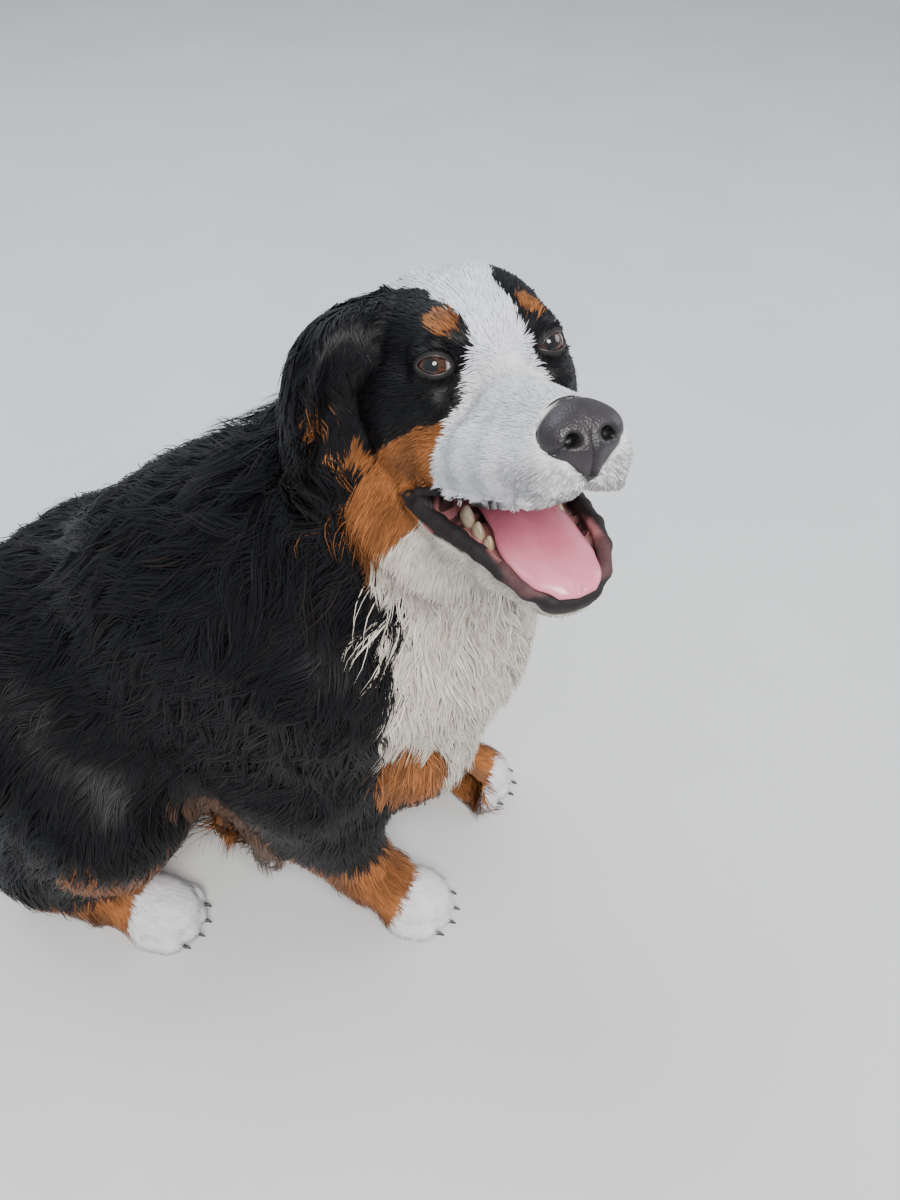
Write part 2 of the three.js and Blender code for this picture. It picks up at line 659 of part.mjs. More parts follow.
// Legs and feet
for (const [side, sign] of Object.entries(SIDES)) {
  const wristCut = [[-62 + sign * FORE_STEP, 0, 74], [-0.55, 0, 0.84]];
  const legBox = ordered([-260, sign * 20, -40], [80, sign * 330, 320]);
  const pawBox = ordered([-190, sign * 30, -30], [80, sign * 180, 150]);
  const leg = solidOf(meshed(bodyField, ...legBox, CELL.leg)).intersect(FORE_BLOCK(sign, -GAP / 2));
  const paw = solidOf(meshed(bodyField, ...pawBox, CELL.paw)).intersect(FORE_BLOCK(sign, -GAP / 2));
  add("foreleg_" + side, keep(aboveFloor(leg), wristCut, 1), "black");
  add("forepaw_" + side, keep(aboveFloor(paw), wristCut, -1), "white");

  const hipBox = ordered([-740, sign * 60, -40], [-220, sign * 340, 350]);
  const footBox = ordered([-440, sign * 100, -30], [-190, sign * 290, 140]);
  const hip = solidOf(meshed(bodyField, ...hipBox, CELL.hip)).intersect(HIND_BLOCK(sign, -GAP / 2));
  const foot = solidOf(meshed(bodyField, ...footBox, CELL.paw)).intersect(FOOT_BLOCK(sign, -GAP / 2));
  add("hindleg_" + side, aboveFloor(hip).subtract(FOOT_BLOCK(sign, GAP / 2)), "black");
  add("hindpaw_" + side, aboveFloor(foot), "white");

  for (const [kind, at, reach, box] of [
    ["fore", FORE_PAW(sign), FORE_REACH, pawBox],
    ["hind", HIND_PAW(sign), HIND_REACH, footBox],
  ]) {
    const room = solidOf(meshed(grown(bodyField, COAT_GAP), ...box, CELL.paw));
    TOES.forEach((toe, number) => {
      add(`claw_${kind}_${side}_${number + 1}`, claw(at, reach, toe).subtract(room), "claw");
    });
  }
}

// The origin is on the floor, under the middle of the whole model
const extent = new THREE.Box3().setFromObject(dog);
dog.position.set(-(extent.min.x + extent.max.x) / 2, -(extent.min.y + extent.max.y) / 2, 0);

export default dog;
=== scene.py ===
import math

import bmesh
import bpy
import numpy as np
from mathutils import Euler, Matrix, Vector
from mathutils.bvhtree import BVHTree
from mathutils.kdtree import KDTree


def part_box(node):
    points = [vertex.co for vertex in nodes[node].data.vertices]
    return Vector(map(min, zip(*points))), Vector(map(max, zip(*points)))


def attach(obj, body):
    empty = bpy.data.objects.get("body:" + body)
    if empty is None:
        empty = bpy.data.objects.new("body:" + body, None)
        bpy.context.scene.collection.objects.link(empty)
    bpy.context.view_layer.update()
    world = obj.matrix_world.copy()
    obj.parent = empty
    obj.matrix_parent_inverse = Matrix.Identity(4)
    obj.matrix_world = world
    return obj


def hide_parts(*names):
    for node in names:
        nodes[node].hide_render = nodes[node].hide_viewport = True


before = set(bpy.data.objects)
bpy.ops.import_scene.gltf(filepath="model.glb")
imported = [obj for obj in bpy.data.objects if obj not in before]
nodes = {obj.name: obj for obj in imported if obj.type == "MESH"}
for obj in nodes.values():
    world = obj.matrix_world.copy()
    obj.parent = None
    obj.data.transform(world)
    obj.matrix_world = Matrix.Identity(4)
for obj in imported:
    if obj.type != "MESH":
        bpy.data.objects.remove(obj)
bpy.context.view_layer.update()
chance = np.random.default_rng(41)

# Frames
EYE_AT = (-10, 39, 0)  # of the left eye in the head's frame; the right eye mirrors it
EYE_RADIUS = 12.6
HEAD_AT = np.array([31.0, -67.0, 734.0])
HEAD_TURN = np.array(
    Euler((math.radians(-0.7), math.radians(-29.6), math.radians(-52.3)), "XYZ").to_matrix()
)
JAW_OPENING = math.radians(26)
JAW_HINGE = np.array([-75.0, 0.0, -45.0])
JAW_TURN = np.array(Euler((0, JAW_OPENING, 0)).to_matrix())


def from_head(points):
    return np.asarray(points, float) @ HEAD_TURN.T + HEAD_AT


def to_head(points):
    return (np.asarray(points, float) - HEAD_AT) @ HEAD_TURN


def jaw_in_head(points):
    """Points drawn with the mouth shut, swung open about the jaw's hinge, in the head's frame."""
    return (np.asarray(points, float) - JAW_HINGE) @ JAW_TURN.T + JAW_HINGE


def box_centre(node):
    low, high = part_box(node)
    return np.array((low + high) / 2) * 1000


# The frame's origin differs from the dog's by a shift, which the eyes give
EYES_MIDDLE = from_head([EYE_AT[0], 0, EYE_AT[2]])
SHIFT = (box_centre("eye_left") + box_centre("eye_right")) / 2 - EYES_MIDDLE


def to_dog(metres):
    return np.asarray(metres, float) * 1000 - SHIFT


def to_metres(points):
    return (np.asarray(points, float) + SHIFT) / 1000


# Small tools
def unit(vectors):
    return vectors / np.maximum(np.linalg.norm(vectors, axis=-1, keepdims=True), 1e-9)


def smooth(value, start, end):
    t = np.clip((value - start) / (end - start), 0, 1)
    return t * t * (3 - 2 * t)


def between(values, low, high):
    return (values > low) & (values < high)


def folded(points):
    """The points, with those of the right side mirrored onto the left."""
    return points * [1, 0, 1] + np.abs(points) * [0, 1, 0]


def blend(a, b, amount):
    return a + (b - a) * amount


def mix(a, b, amount):
    """Rows of colours or places, each taken from a towards b by its own amount."""
    return a + (b - a) * np.asarray(amount)[..., None]


def ripple(points, size, seed):
    """Soft noise between about -1 and 1, whose lumps are about size millimetres across."""
    waves = np.random.default_rng(seed)
    total = np.zeros(len(points))
    for _ in range(7):
        way = unit(waves.normal(size=3)) * 2 * math.pi / (size * waves.uniform(1.2, 2.6))
        total += np.sin(points @ way + waves.uniform(0, 2 * math.pi))
    return total / 3.2


def point_tree(points):
    """A tree that finds the nearest of the points."""
    tree = KDTree(len(points))
    for i, p in enumerate(points):
        tree.insert(p, i)
    tree.balance()
    return tree


def read_rows(items, name, size, kind=np.float32):
    """One kind of value of a mesh's items, as rows."""
    found = np.zeros(len(items) * size, kind)
    items.foreach_get(name, found)
    return found.reshape(-1, size)


def mesh_piece(name, points, faces, material, uv=None, tint=None, normals=None):
    """A mesh of triangles, from points in the dog's frame."""
    mesh = bpy.data.meshes.new(name)
    faces = np.asarray(faces, np.int32)
    mesh.vertices.add(len(points))
    mesh.vertices.foreach_set("co", to_metres(points).astype(np.float32).ravel())
    mesh.loops.add(faces.size)
    mesh.loops.foreach_set("vertex_index", faces.ravel())
    mesh.polygons.add(len(faces))
    mesh.polygons.foreach_set("loop_start", np.arange(0, faces.size, 3, dtype=np.int32))
    mesh.update(calc_edges=True)
    mesh.shade_smooth()
    if uv is not None:
        layer = mesh.uv_layers.new(name="OFBake")
        layer.uv.foreach_set("vector", uv[faces.ravel()].astype(np.float32).ravel())
    if tint is not None:
        set_tint(mesh, tint)
    if normals is not None:
        mesh.normals_split_custom_set_from_vertices(normals.tolist())
    piece = bpy.data.objects.new(name, mesh)
    bpy.context.scene.collection.objects.link(piece)
    mesh.materials.append(material)
    return piece


def set_tint(mesh, colours):
    layer = mesh.attributes.new("tint", "FLOAT_COLOR", "POINT")
    rgba = np.column_stack([colours, np.ones(len(colours))]).astype(np.float32)
    layer.data.foreach_set("color", rgba.ravel())


def grid_faces(rows, columns, looped=False):
    """Triangles between rings of points; a looped grid's last ring joins its first."""
    faces = []
    for r in range(rows if looped else rows - 1):
        here, there = r * columns, (r + 1) % rows * columns
        for c in range(columns):
            d = (c + 1) % columns
            faces += [(here + c, here + d, there + d), (here + c, there + d, there + c)]
    return faces


def end_fans(rows, around):
    """Triangles that close a grid of rings with two points, which follow the grid's own."""
    last = (rows - 1) * around
    first_end, far_end = rows * around, rows * around + 1
    faces = []
    for n in range(around):
        nxt = (n + 1) % around
        faces += [(first_end, nxt, n), (far_end, last + n, last + nxt)]
    return faces


def round_ball(subdivisions):
    """Points and faces of a ball of radius 1."""
    bm = bmesh.new()
    bmesh.ops.create_icosphere(bm, subdivisions=subdivisions, radius=1)
    points = np.array([v.co for v in bm.verts])
    faces = np.array([[v.index for v in f.verts] for f in bm.faces])
    bm.free()
    return points, faces


def sweep(stations, across, around, groove=0.0, steps=6):
    """Points and faces of a form swept along stations of (centre, half width, half thickness)."""
    centres = np.array([s[0] for s in stations], float)
    sizes = np.array([s[1:] for s in stations], float)
    knots = np.arange(len(stations))
    fine = np.linspace(0, len(stations) - 1, steps * (len(stations) - 1) + 1)
    centre = np.column_stack([spline(fine, knots, centres[:, i]) for i in range(3)])
    size = np.column_stack([spline(fine, knots, sizes[:, i]) for i in range(2)])
    path = unit(np.gradient(centre, axis=0))
    side = unit(np.array(across, float) - path * (path @ np.array(across, float))[:, None])
    up = np.cross(path, side)
    angle = np.linspace(0, 2 * math.pi, around, endpoint=False)
    out = size[:, :1] * np.cos(angle)
    dip = groove * np.exp(-((out / (0.22 * size[:, :1])) ** 2)) * (np.sin(angle) > 0)
    lift = size[:, 1:] * np.sin(angle) - dip
    rings = centre[:, None] + side[:, None] * out[..., None] + up[:, None] * lift[..., None]
    ends = [centre[0] - path[0] * size[0, 1] * 0.6, centre[-1] + path[-1] * size[-1, 1] * 0.6]
    points = np.vstack([rings.reshape(-1, 3), ends])
    return points, np.array(grid_faces(len(fine), around) + end_fans(len(fine), around))


def spline(at, knots, values):
    """A smooth curve through the values, with slopes taken from their neighbours."""
    slopes = np.gradient(values, knots)
    i = np.clip(np.searchsorted(knots, at, side="right") - 1, 0, len(knots) - 2)
    t = (at - knots[i]) / (knots[i + 1] - knots[i])
    a, b, m, n = values[i], values[i + 1], slopes[i], slopes[i + 1]
    return (
        (2 * t**3 - 3 * t**2 + 1) * a + (t**3 - 2 * t**2 + t) * m
        + (3 * t**2 - 2 * t**3) * b + (t**3 - t**2) * n
    )


# Fields, negative inside a shape
def egg(centre, radii):
    centre, radii = np.array(centre, float), np.array(radii, float)

    def field(p):
        q = (p - centre) / radii
        size = np.linalg.norm(q, axis=1)
        return size * (size - 1) / np.maximum(np.linalg.norm(q / radii, axis=1), 1e-6)

    return field


def limb(a, b, start, end):
    a, span = np.array(a, float), np.array(b, float) - np.array(a, float)

    def field(p):
        t = np.clip((p - a) @ span / (span @ span), 0, 1)
        return np.linalg.norm(p - a - t[:, None] * span, axis=1) - (start + (end - start) * t)

    return field


def chain(joints):
    return [limb(a[0], b[0], a[1], b[1]) for a, b in zip(joints, joints[1:])]


def smooth_union(fields, softness):
    def field(p):
        found = fields[0](p)
        for other in fields[1:]:
            nxt = other(p)
            near = np.maximum(softness - np.abs(found - nxt), 0) / softness
            found = np.minimum(found, nxt) - near * near * softness / 4
        return found

    return field


def carved(solid, tool, softness):
    def field(p):
        a, b = solid(p), -tool(p)
        near = np.maximum(softness - np.abs(a - b), 0) / softness
        return np.maximum(a, b) + near * near * softness / 4

    return field


def both_sides(field):
    return lambda p: field(folded(p))


def settle(points, field, level, turns=6, reach=2.5):
    """Moves points along the field's slope until it has the given level there."""
    points = points.copy()
    step = 0.4
    for _ in range(turns):
        value = field(points) - level
        slope = np.column_stack([
            field(points + step * axis) - field(points - step * axis) for axis in np.eye(3)
        ]) / (2 * step)
        move = -value[:, None] * slope / np.maximum((slope**2).sum(1), 0.2)[:, None]
        far = np.linalg.norm(move, axis=1, keepdims=True)
        points += move * np.minimum(1, reach / np.maximum(far, 1e-6))
    return points


# The head's shape, in the head's frame
LIP_LOW = [
    [[-57, 58, -88], 4], [[-42, 57, -94], 5.5], [[-24, 51, -104], 6], [[0, 46, -112], 6],
    [[25, 42, -119], 5.5], [[45, 36, -129], 5.5], [[60, 27, -141], 5.5], [[66, 14, -150], 5.5],
    [[67, 0, -153], 5.5],
]
LIP_HIGH = [
    [[-57, 58, -86], 4], [[-38, 56, -82], 4], [[-15, 50, -81], 3.5], [[15, 44, -84], 3.5],
    [[50, 39, -84], 3.5], [[85, 32, -82], 3.5], [[108, 18, -78], 3.5], [[116, 5, -71], 3],
]


def skull_field():
    outside = smooth_union([
        egg([-70, 0, 8], [73, 65, 56]),  # cranium
        egg([-28, 0, 8], [40, 46, 32]),  # forehead
        both_sides(egg([-10, 31, 10], [16, 16, 16])),  # brow
        both_sides(egg([-66, 48, -38], [46, 30, 46])),  # cheek
        both_sides(limb([-14, 40, -22], [-80, 60, -16], 18, 22)),  # cheekbone
        egg([-75, 0, -80], [54, 54, 46]),  # throat
        limb([0, 0, -36], [98, 0, -42], 28, 19),  # bridge
        both_sides(smooth_union(chain([
            [[-20, 36, -58], 24], [[20, 24, -60], 26], [[58, 19, -61], 25], [[96, 13, -60], 22],
        ]), 6)),  # hanging upper lips
    ], 16)
    socket = both_sides(egg([6, 46, 0], [14, 17, 11]))
    lids = both_sides(egg(EYE_AT, [EYE_RADIUS + 6] * 3))
    return smooth_union([carved(outside, socket, 6), lids], 7)


def jaw_field():
    shut = smooth_union([
        both_sides(smooth_union(chain([
            [[-48, 43, -80], 24], [[0, 36, -89], 18], [[45, 29, -87], 13], [[88, 10, -82], 10],
        ]), 6)),
        egg([38, 0, -90], [64, 30, 12]),
    ], 14)
    return lambda p: shut((p - JAW_HINGE) @ JAW_TURN + JAW_HINGE)


gape_middle = smooth_union(chain([
    [[-56, 0, -88], 3], [[-29, 0, -97], 11], [[15, 0, -104], 17], [[62, 0, -111], 26],
    [[130, 0, -122], 37],
]), 8)


def gape(p):
    """The room between the jaws, from the corners of the mouth forwards."""
    return np.maximum(gape_middle(p * [1, 0, 1]), np.abs(p[:, 1]) - 90)


palate = egg([20, 0, -84], [78, 24, 16])
low_lip = both_sides(smooth_union(chain(LIP_LOW), 4))
high_lip = both_sides(smooth_union(chain(LIP_HIGH), 4))
lips = both_sides(smooth_union(chain(LIP_LOW) + chain(LIP_HIGH), 4))
head_field = smooth_union([
    carved(carved(smooth_union([skull_field(), jaw_field()], 9), gape, 8), palate, 6),
    lips,
], 5)

nose_shape = smooth_union([
    egg([106, 0, -46], [16.5, 23.5, 21]),
    both_sides(egg([110, 12, -44], [12, 12.5, 11.5])),
    limb([113, 0, -52], [111, 0, -65], 11, 7),
], 5)

# Paws, in the dog's frame
FORE_STEP, STANCE, HIND_STANCE = 12, 94, 188
TOE_PLACES = (-1.5, -0.5, 0.5, 1.5)
PAWS = {}
for word, sign in (("left", 1), ("right", -1)):
    PAWS["fore_" + word] = ([-26 + sign * FORE_STEP, sign * STANCE, 33], [49, 40, 35], 33)
    PAWS["hind_" + word] = ([-314, sign * HIND_STANCE, 33], [54, 41, 35], 38)


def toe_at(paw, reach, toe):
    return [paw[0] + reach - 5.5 * toe * toe, paw[1] + toe * 17.5, 20]


def paw_field(paw, radii, reach):
    toes = [
        limb(toe_at(paw, reach - 28, toe), toe_at(paw, reach, toe), 19, 16) for toe in TOE_PLACES
    ]
    return smooth_union([egg(paw, [radii[0] - 4, radii[1] - 3, radii[2] - 3]), *toes], 3)


# Markings, as colours of light that the coat gives back
BLACK = np.array([0.0048, 0.0048, 0.006])
BROWNISH = np.array([0.05, 0.026, 0.015])
TAN = np.array([0.43, 0.155, 0.045])
WHITE = np.array([0.86, 0.85, 0.85])
CREAM = np.array([0.88, 0.79, 0.66])
GREY = np.array([0.30, 0.29, 0.30])
PINK = np.array([0.55, 0.22, 0.22])
LIP = np.array([0.018, 0.014, 0.014])
SKYLIT_WHITE = WHITE * [0.93, 0.97, 1.05]  # the white of the top of the head, cooled as painted light of the sky

# the blaze's edges, against how far forwards and down a place on the head lies
BLAZE_AT = [-150, -112, -63, -14, 5, 21, 39, 62, 78]
BLAZE_RIGHT = [46, 38, 24, 17, 17, 24, 41, 52, 62]
BLAZE_LEFT = [34, 27, 15, 14, 20, 30, 43, 52, 62]
# the height of the rust cheek's upper edge, against how far forwards it lies
CHEEK_AT = [-110, -96, -82, -51, -24, 0, 13]
CHEEK_TOP = [-110, -84, -62, -47, -38, -33, -30]
# the bib's reach to each side, in degrees about an upright line in the chest, against the height
CHEST_MIDDLE = -120
BIB_AT = [200, 230, 300, 360, 411, 440, 489, 530, 566, 640]
BIB_REACH = [18, 30, 40, 58, 58, 52, 46, 56, 62, 76]


def on_head(h):
    return between(h[:, 0], -150, 130) & (np.abs(h[:, 1]) < 150) & (h[:, 2] > -175)


def head_marks(h):
    """Where the blaze, the pale chin, the rust cheeks, their streaks and the brow spots lie."""
    x, y, z = h.T
    side = np.abs(y)
    down = x - z
    nape = smooth(x, -116, -84)  # the blaze ends behind the top of the head
    right = nape * np.interp(down, BLAZE_AT, BLAZE_RIGHT)
    left = nape * np.interp(down, BLAZE_AT, BLAZE_LEFT)
    blaze = on_head(h) & between(y, -right, left) & (x > -118) & (z > -95)

    throat_line = -100 - 0.42 * (-35 - x)
    chin = (z < np.where(x < -35, throat_line, -95)) & (z > -190) & between(x, -112, 130) & (side < 92)

    # the cheek runs back from the corner of the mouth, with narrow streaks up to the ear and on it
    top = np.interp(x, CHEEK_AT, CHEEK_TOP)
    cheek = on_head(h) & (z < top) & between(x, -104, 13) & (np.abs(side - 70) < 34)
    streak = (np.abs(x + 84 + 0.4 * (z + 40)) < 5) & between(z, -70, -34) & (np.abs(side - 83) < 22)
    streak |= (np.abs(x + 62 - 0.3 * (z + 11)) < 5) & (np.abs(z + 13) < 22) & (side > 108)
    brow = ((x + 1) / 13) ** 2 + ((side - 30) / 9.5) ** 2 + ((z - 28) / 12) ** 2 < 1
    return blaze, chin, cheek, on_head(h) & streak, on_head(h) & brow


def chest_marks(p, h):
    """Where the white bib and the rust patches at its foot lie."""
    x, y, z = p.T
    below_head = ~on_head(h)
    bearing = np.degrees(np.abs(np.arctan2(y + 12 * smooth(z, 300, 560), x - CHEST_MIDDLE)))
    black_locks = smooth(ripple(p * [0.5, 0.5, 0.35], 26, 6), 0.2, 0.9) * np.exp(-(((z - 470) / 60) ** 2))
    reach = np.interp(z, BIB_AT, BIB_REACH) - 16 * black_locks
    bib = below_head & (bearing < reach) & (x > CHEST_MIDDLE) & (z > 195) & (h[:, 2] < -92)
    patch = ((bearing - 47) / 17) ** 2 + ((z - 285 - 12 * ripple(p, 60, 8)) / 62) ** 2
    return bib, below_head & (patch < 1) & (x > -110)


def belly_line(x):
    """The height of the belly's edge, between the elbow and the thigh."""
    return 155 - 0.35 * (x + 242)


def leg_marks(p):
    """Where forelegs and hind legs are rust and white, and where the elbows and the belly are brown."""
    x, y, z = p.T
    side = np.abs(y)
    elbow = between(side, 60, 185) & between(x, -260, -160) & between(z, 60, 255)
    fore = between(side, 30, 175) & between(x, -250, 95)
    fore_tan = fore & ~elbow & (z < 150 - 0.25 * (x + 90) * (x < -40)) & (z < 165)
    past_foot = x - 0.33 * z + np.where(y > 0, 8, 62) > 0
    fore_white = fore & (z < 95) & past_foot
    hind = (side > 105) & (x < -240)
    hind_tan = hind & (x > -450) & (z < 116 + 0.22 * (x + 330)) & (z < 140)
    hind_white = hind & (x > -330) & (z < 90)
    belly = between(x, -350, -225) & (np.abs(z - belly_line(x)) < 14) & (side > 90)
    belly |= between(x, -410, -205) & (z < 150) & (side < 165)
    return fore_tan, fore_white, hind_tan, hind_white, elbow, belly


def coat_colour(p, fuzz=1.0):
    """The colour of the hair rooted at each point, as one rule for the skin and the coat."""
    wander = np.column_stack([ripple(p, 16, seed) for seed in (3, 4, 5)])
    p = p + wander * 2.2 * fuzz + chance.normal(size=p.shape) * 1.1 * fuzz
    h = to_head(p)
    x, z = h[:, 0], h[:, 2]
    blaze, chin, cheek, streak, brow = head_marks(h)
    bib, bib_tan = chest_marks(p, h)
    fore_tan, fore_white, hind_tan, hind_white, elbow, belly = leg_marks(p)

    colour = np.tile(BLACK, (len(p), 1))
    streaks = 0.5 + 0.5 * ripple(p * [1, 1, 0.25], 5, 9)
    rust = TAN * blend(0.6, 1.12, smooth(ripple(p * [1, 1, 0.6], 22, 10), -0.9, 0.7))[:, None]
    for mask, paint in (
        (elbow, mix(BLACK, BROWNISH * 2.6, 0.25 + 0.75 * streaks)),
        (belly, mix(BLACK, TAN * 0.85, 0.35 + 0.65 * streaks)),
        (fore_tan, rust), (fore_white, WHITE), (hind_tan, rust), (hind_white, WHITE),
        (bib, CREAM), (bib_tan, rust), (cheek, rust), (streak, rust * 0.8), (brow, rust),
        (chin, CREAM), (blaze, WHITE),
    ):
        colour[mask] = paint if paint.ndim == 1 else paint[mask]

    # dark hairs in the rust towards the ruff, freckles on the bridge, grey beside the nose
    colour[cheek] *= blend(1.0, 0.45, smooth(-x[cheek], 70, 104) * streaks[cheek])[:, None]
    # painted light: the top of the blaze is tinted cool, as the sky lights it
    forehead = blaze & (x - z < 20)
    colour[forehead] = mix(colour[forehead], SKYLIT_WHITE, 0.6)
    speck = smooth(ripple(h, 5, 12), 0.78, 1.15) * smooth(x, -5, 25) * (z > -40)
    colour = mix(colour, GREY, np.where(blaze, speck * 0.5, 0))
    pepper = smooth(ripple(h, 2.2, 13), -0.8, 0.6) * smooth(x, 66, 94) * smooth(-z, 50, 62)
    colour = mix(colour, GREY * 0.7, np.where(blaze, pepper * 0.75, 0))
    tail_tip = (p[:, 0] < -800) & (p[:, 1] > 192 - 0.25 * (p[:, 0] + 880))
    colour[tail_tip] = WHITE
    return colour


# Materials
def material(name, roughness, **sockets):
    made = bpy.data.materials.new(name)
    made.use_nodes = True
    shader = made.node_tree.nodes["Principled BSDF"]
    shader.inputs["Roughness"].default_value = roughness
    for key, value in sockets.items():
        shader.inputs[key.replace("_", " ")].default_value = value
    return made


def texture(made, kind, scale, stretch=(1, 1, 1)):
    """A texture node in the piece's own coordinates, stretched along its axes."""
    tree = made.node_tree
    place = tree.nodes.new("ShaderNodeTexCoord")
    mapping = tree.nodes.new("ShaderNodeMapping")
    mapping.inputs["Scale"].default_value = stretch
    found = tree.nodes.new(kind)
    found.inputs["Scale"].default_value = scale
    tree.links.new(place.outputs["Object"], mapping.inputs["Vector"])
    tree.links.new(mapping.outputs["Vector"], found.inputs["Vector"])
    return found


def noise(made, scale, detail=4, stretch=(1, 1, 1)):
    found = texture(made, "ShaderNodeTexNoise", scale, stretch)
    found.inputs["Detail"].default_value = detail
    return found.outputs["Fac"]


def ramp(made, source, low, high):
    """A colour that goes from one stop to the other, each of them a place and a colour."""
    found = made.node_tree.nodes.new("ShaderNodeValToRGB")
    for element, (place, colour) in zip(found.color_ramp.elements, (low, high)):
        element.position = place
        element.color = (*colour, 1)
    made.node_tree.links.new(source, found.inputs["Fac"])
    return found.outputs["Color"]


def paint_with(made, colour):
    made.node_tree.links.new(colour, made.node_tree.nodes["Principled BSDF"].inputs["Base Color"])


def bump(made, source, strength, distance):
    tree = made.node_tree
    found = tree.nodes.new("ShaderNodeBump")
    found.inputs["Strength"].default_value = strength
    found.inputs["Distance"].default_value = distance
    tree.links.new(source, found.inputs["Height"])
    tree.links.new(found.outputs["Normal"], tree.nodes["Principled BSDF"].inputs["Normal"])


def tinted(name, roughness, scale, shade, detail=4, relief=None, **sockets):
    """A material whose colour is the piece's own tint, varied by noise, which may also raise a relief."""
    made = material(name, roughness, **sockets)
    tree = made.node_tree
    tint = tree.nodes.new("ShaderNodeAttribute")
    tint.attribute_name = "tint"
    grain = noise(made, scale, detail)
    tone = ramp(made, grain, (0.3, (shade,) * 3), (0.7, (1, 1, 1)))
    product = tree.nodes.new("ShaderNodeMix")
    product.data_type = "RGBA"
    product.blend_type = "MULTIPLY"
    factor, first, second = product.inputs[0], product.inputs[6], product.inputs[7]
    factor.default_value = 1
    tree.links.new(tint.outputs["Color"], first)
    tree.links.new(tone, second)
    paint_with(made, product.outputs[2])
    if relief:
        bump(made, grain, *relief)
    return made


def mottled(name, roughness, scale, low, high, stretch=(1, 1, 1), **sockets):
    """A material whose colour wanders between two by noise."""
    made = material(name, roughness, **sockets)
    paint_with(made, ramp(made, noise(made, scale, stretch=stretch), low, high))
    return made


coat_material = tinted("coat_hair", 0.46, 90, 0.75, Specular_IOR_Level=0.18)
skin_material = tinted(
    "skin_and_short_hair", 0.6, 900, 0.6, relief=(0.5, 0.0006), Specular_IOR_Level=0.25,
)


# The skin
REGIONS = {
    # node prefix: how deep the skin lies in the coat, and each tuft's length and half width
    "head": (3.8, 14, 0.46),
    "muzzle": (1.5, 6.5, 0.32),
    "lower_jaw": (2.4, 10, 0.44),
    "ear": (6, 50, 0.62),
    "neck": (17, 74, 0.72),
    "trunk": (18, 76, 0.78),
    "tail": (18, 72, 0.85),
    "foreleg": (10, 40, 0.75),
    "forepaw": (3.0, 10, 0.5),
    "hindleg": (14, 58, 0.78),
    "hindpaw": (3.0, 10, 0.5),
}
FLESH = sorted(n for n in nodes if n.startswith(tuple(REGIONS)))
region_names = list(REGIONS)
VOXEL = 0.0066  # metres, of the grid that the rough skin is made on
GROWTH = 0.0009  # metres, that each flesh node swells by to meet its neighbours
LIP_ROOM = 1.5  # how much thicker the rolls are than the lips that are shaped from them


def region_of(node):
    return next(i for i, prefix in enumerate(region_names) if node.startswith(prefix))


def add_lips_and_lids(bm):
    """Rolls along the lips and balls round the eyes, so that the rough skin has enough there to shape."""
    for sign in (1, -1):
        mirror = np.array([1, sign, 1])
        for lip in (LIP_LOW, LIP_HIGH):
            stations = [
                (np.array(place, float) * mirror, size + LIP_ROOM, size + LIP_ROOM) for place, size in lip
            ]
            points, faces = sweep(stations, (0, 0, 1), 10, steps=3)
            roll = bpy.data.meshes.new("roll")
            roll.from_pydata(to_metres(from_head(points)).tolist(), [], faces.tolist())
            bm.from_mesh(roll)
            bpy.data.meshes.remove(roll)
        place = Vector(to_metres(from_head([np.array(EYE_AT, float) * mirror]))[0])
        size = (EYE_RADIUS + 5.5) / 1000
        bmesh.ops.create_icosphere(bm, subdivisions=3, radius=size, matrix=Matrix.Translation(place))


def voxel_skin():
    """One closed surface around all the flesh nodes, with their faces' tree and those faces' regions."""
    joined = bmesh.new()
    corners, faces, regions = [], [], []
    for name in FLESH:
        part = bmesh.new()
        part.from_mesh(nodes[name].data)
        bmesh.ops.remove_doubles(part, verts=part.verts, dist=1e-5)
        part.normal_update()
        start = len(corners)
        corners += [v.co.copy() for v in part.verts]
        faces += [[start + v.index for v in face.verts] for face in part.faces]
        regions += [region_of(name)] * len(part.faces)
        for v in part.verts:
            v.co += v.normal * GROWTH
        grown = bpy.data.meshes.new("part")
        part.to_mesh(grown)
        joined.from_mesh(grown)
        bpy.data.meshes.remove(grown)
    add_lips_and_lids(joined)
    mesh = bpy.data.meshes.new("rough")
    joined.to_mesh(mesh)
    rough = bpy.data.objects.new("rough", mesh)
    bpy.context.scene.collection.objects.link(rough)
    remesh = rough.modifiers.new("remesh", "REMESH")
    remesh.mode = "VOXEL"
    remesh.voxel_size = VOXEL
    depsgraph = bpy.context.evaluated_depsgraph_get()
    made = bpy.data.meshes.new_from_object(rough.evaluated_get(depsgraph))
    bpy.data.objects.remove(rough)
    return made, BVHTree.FromPolygons(corners, faces), regions


def largest_part(bm):
    """Keeps only the largest connected part of a mesh."""
    seen, best = set(), []
    for start in bm.verts:
        if start in seen:
            continue
        part, queue = [], [start]
        seen.add(start)
        while queue:
            v = queue.pop()
            part.append(v)
            for edge in v.link_edges:
                other = edge.other_vert(v)
                if other not in seen:
                    seen.add(other)
                    queue.append(other)
        best = max(best, part, key=len)
    keep = set(best)
    bmesh.ops.delete(bm, geom=[v for v in bm.verts if v not in keep], context="VERTS")


def refine(bm, near):
    """Splits each face whose corners all pass the test into four."""
    points = to_dog([v.co for v in bm.verts])
    chosen = near(points)
    bm.verts.index_update()
    edges = {e for f in bm.faces if all(chosen[v.index] for v in f.verts) for e in f.edges}
    bmesh.ops.subdivide_edges(bm, edges=list(edges), cuts=1, use_grid_fill=True)
    bm.verts.ensure_lookup_table()


def around_head(p):
    x, y, z = to_head(p).T
    return between(x, -90, 140) & (np.abs(y) < 72) & between(z, -175, 60)


def near_eye(h, centre, reach):
    return np.linalg.norm(folded(h) - centre, axis=1) < reach


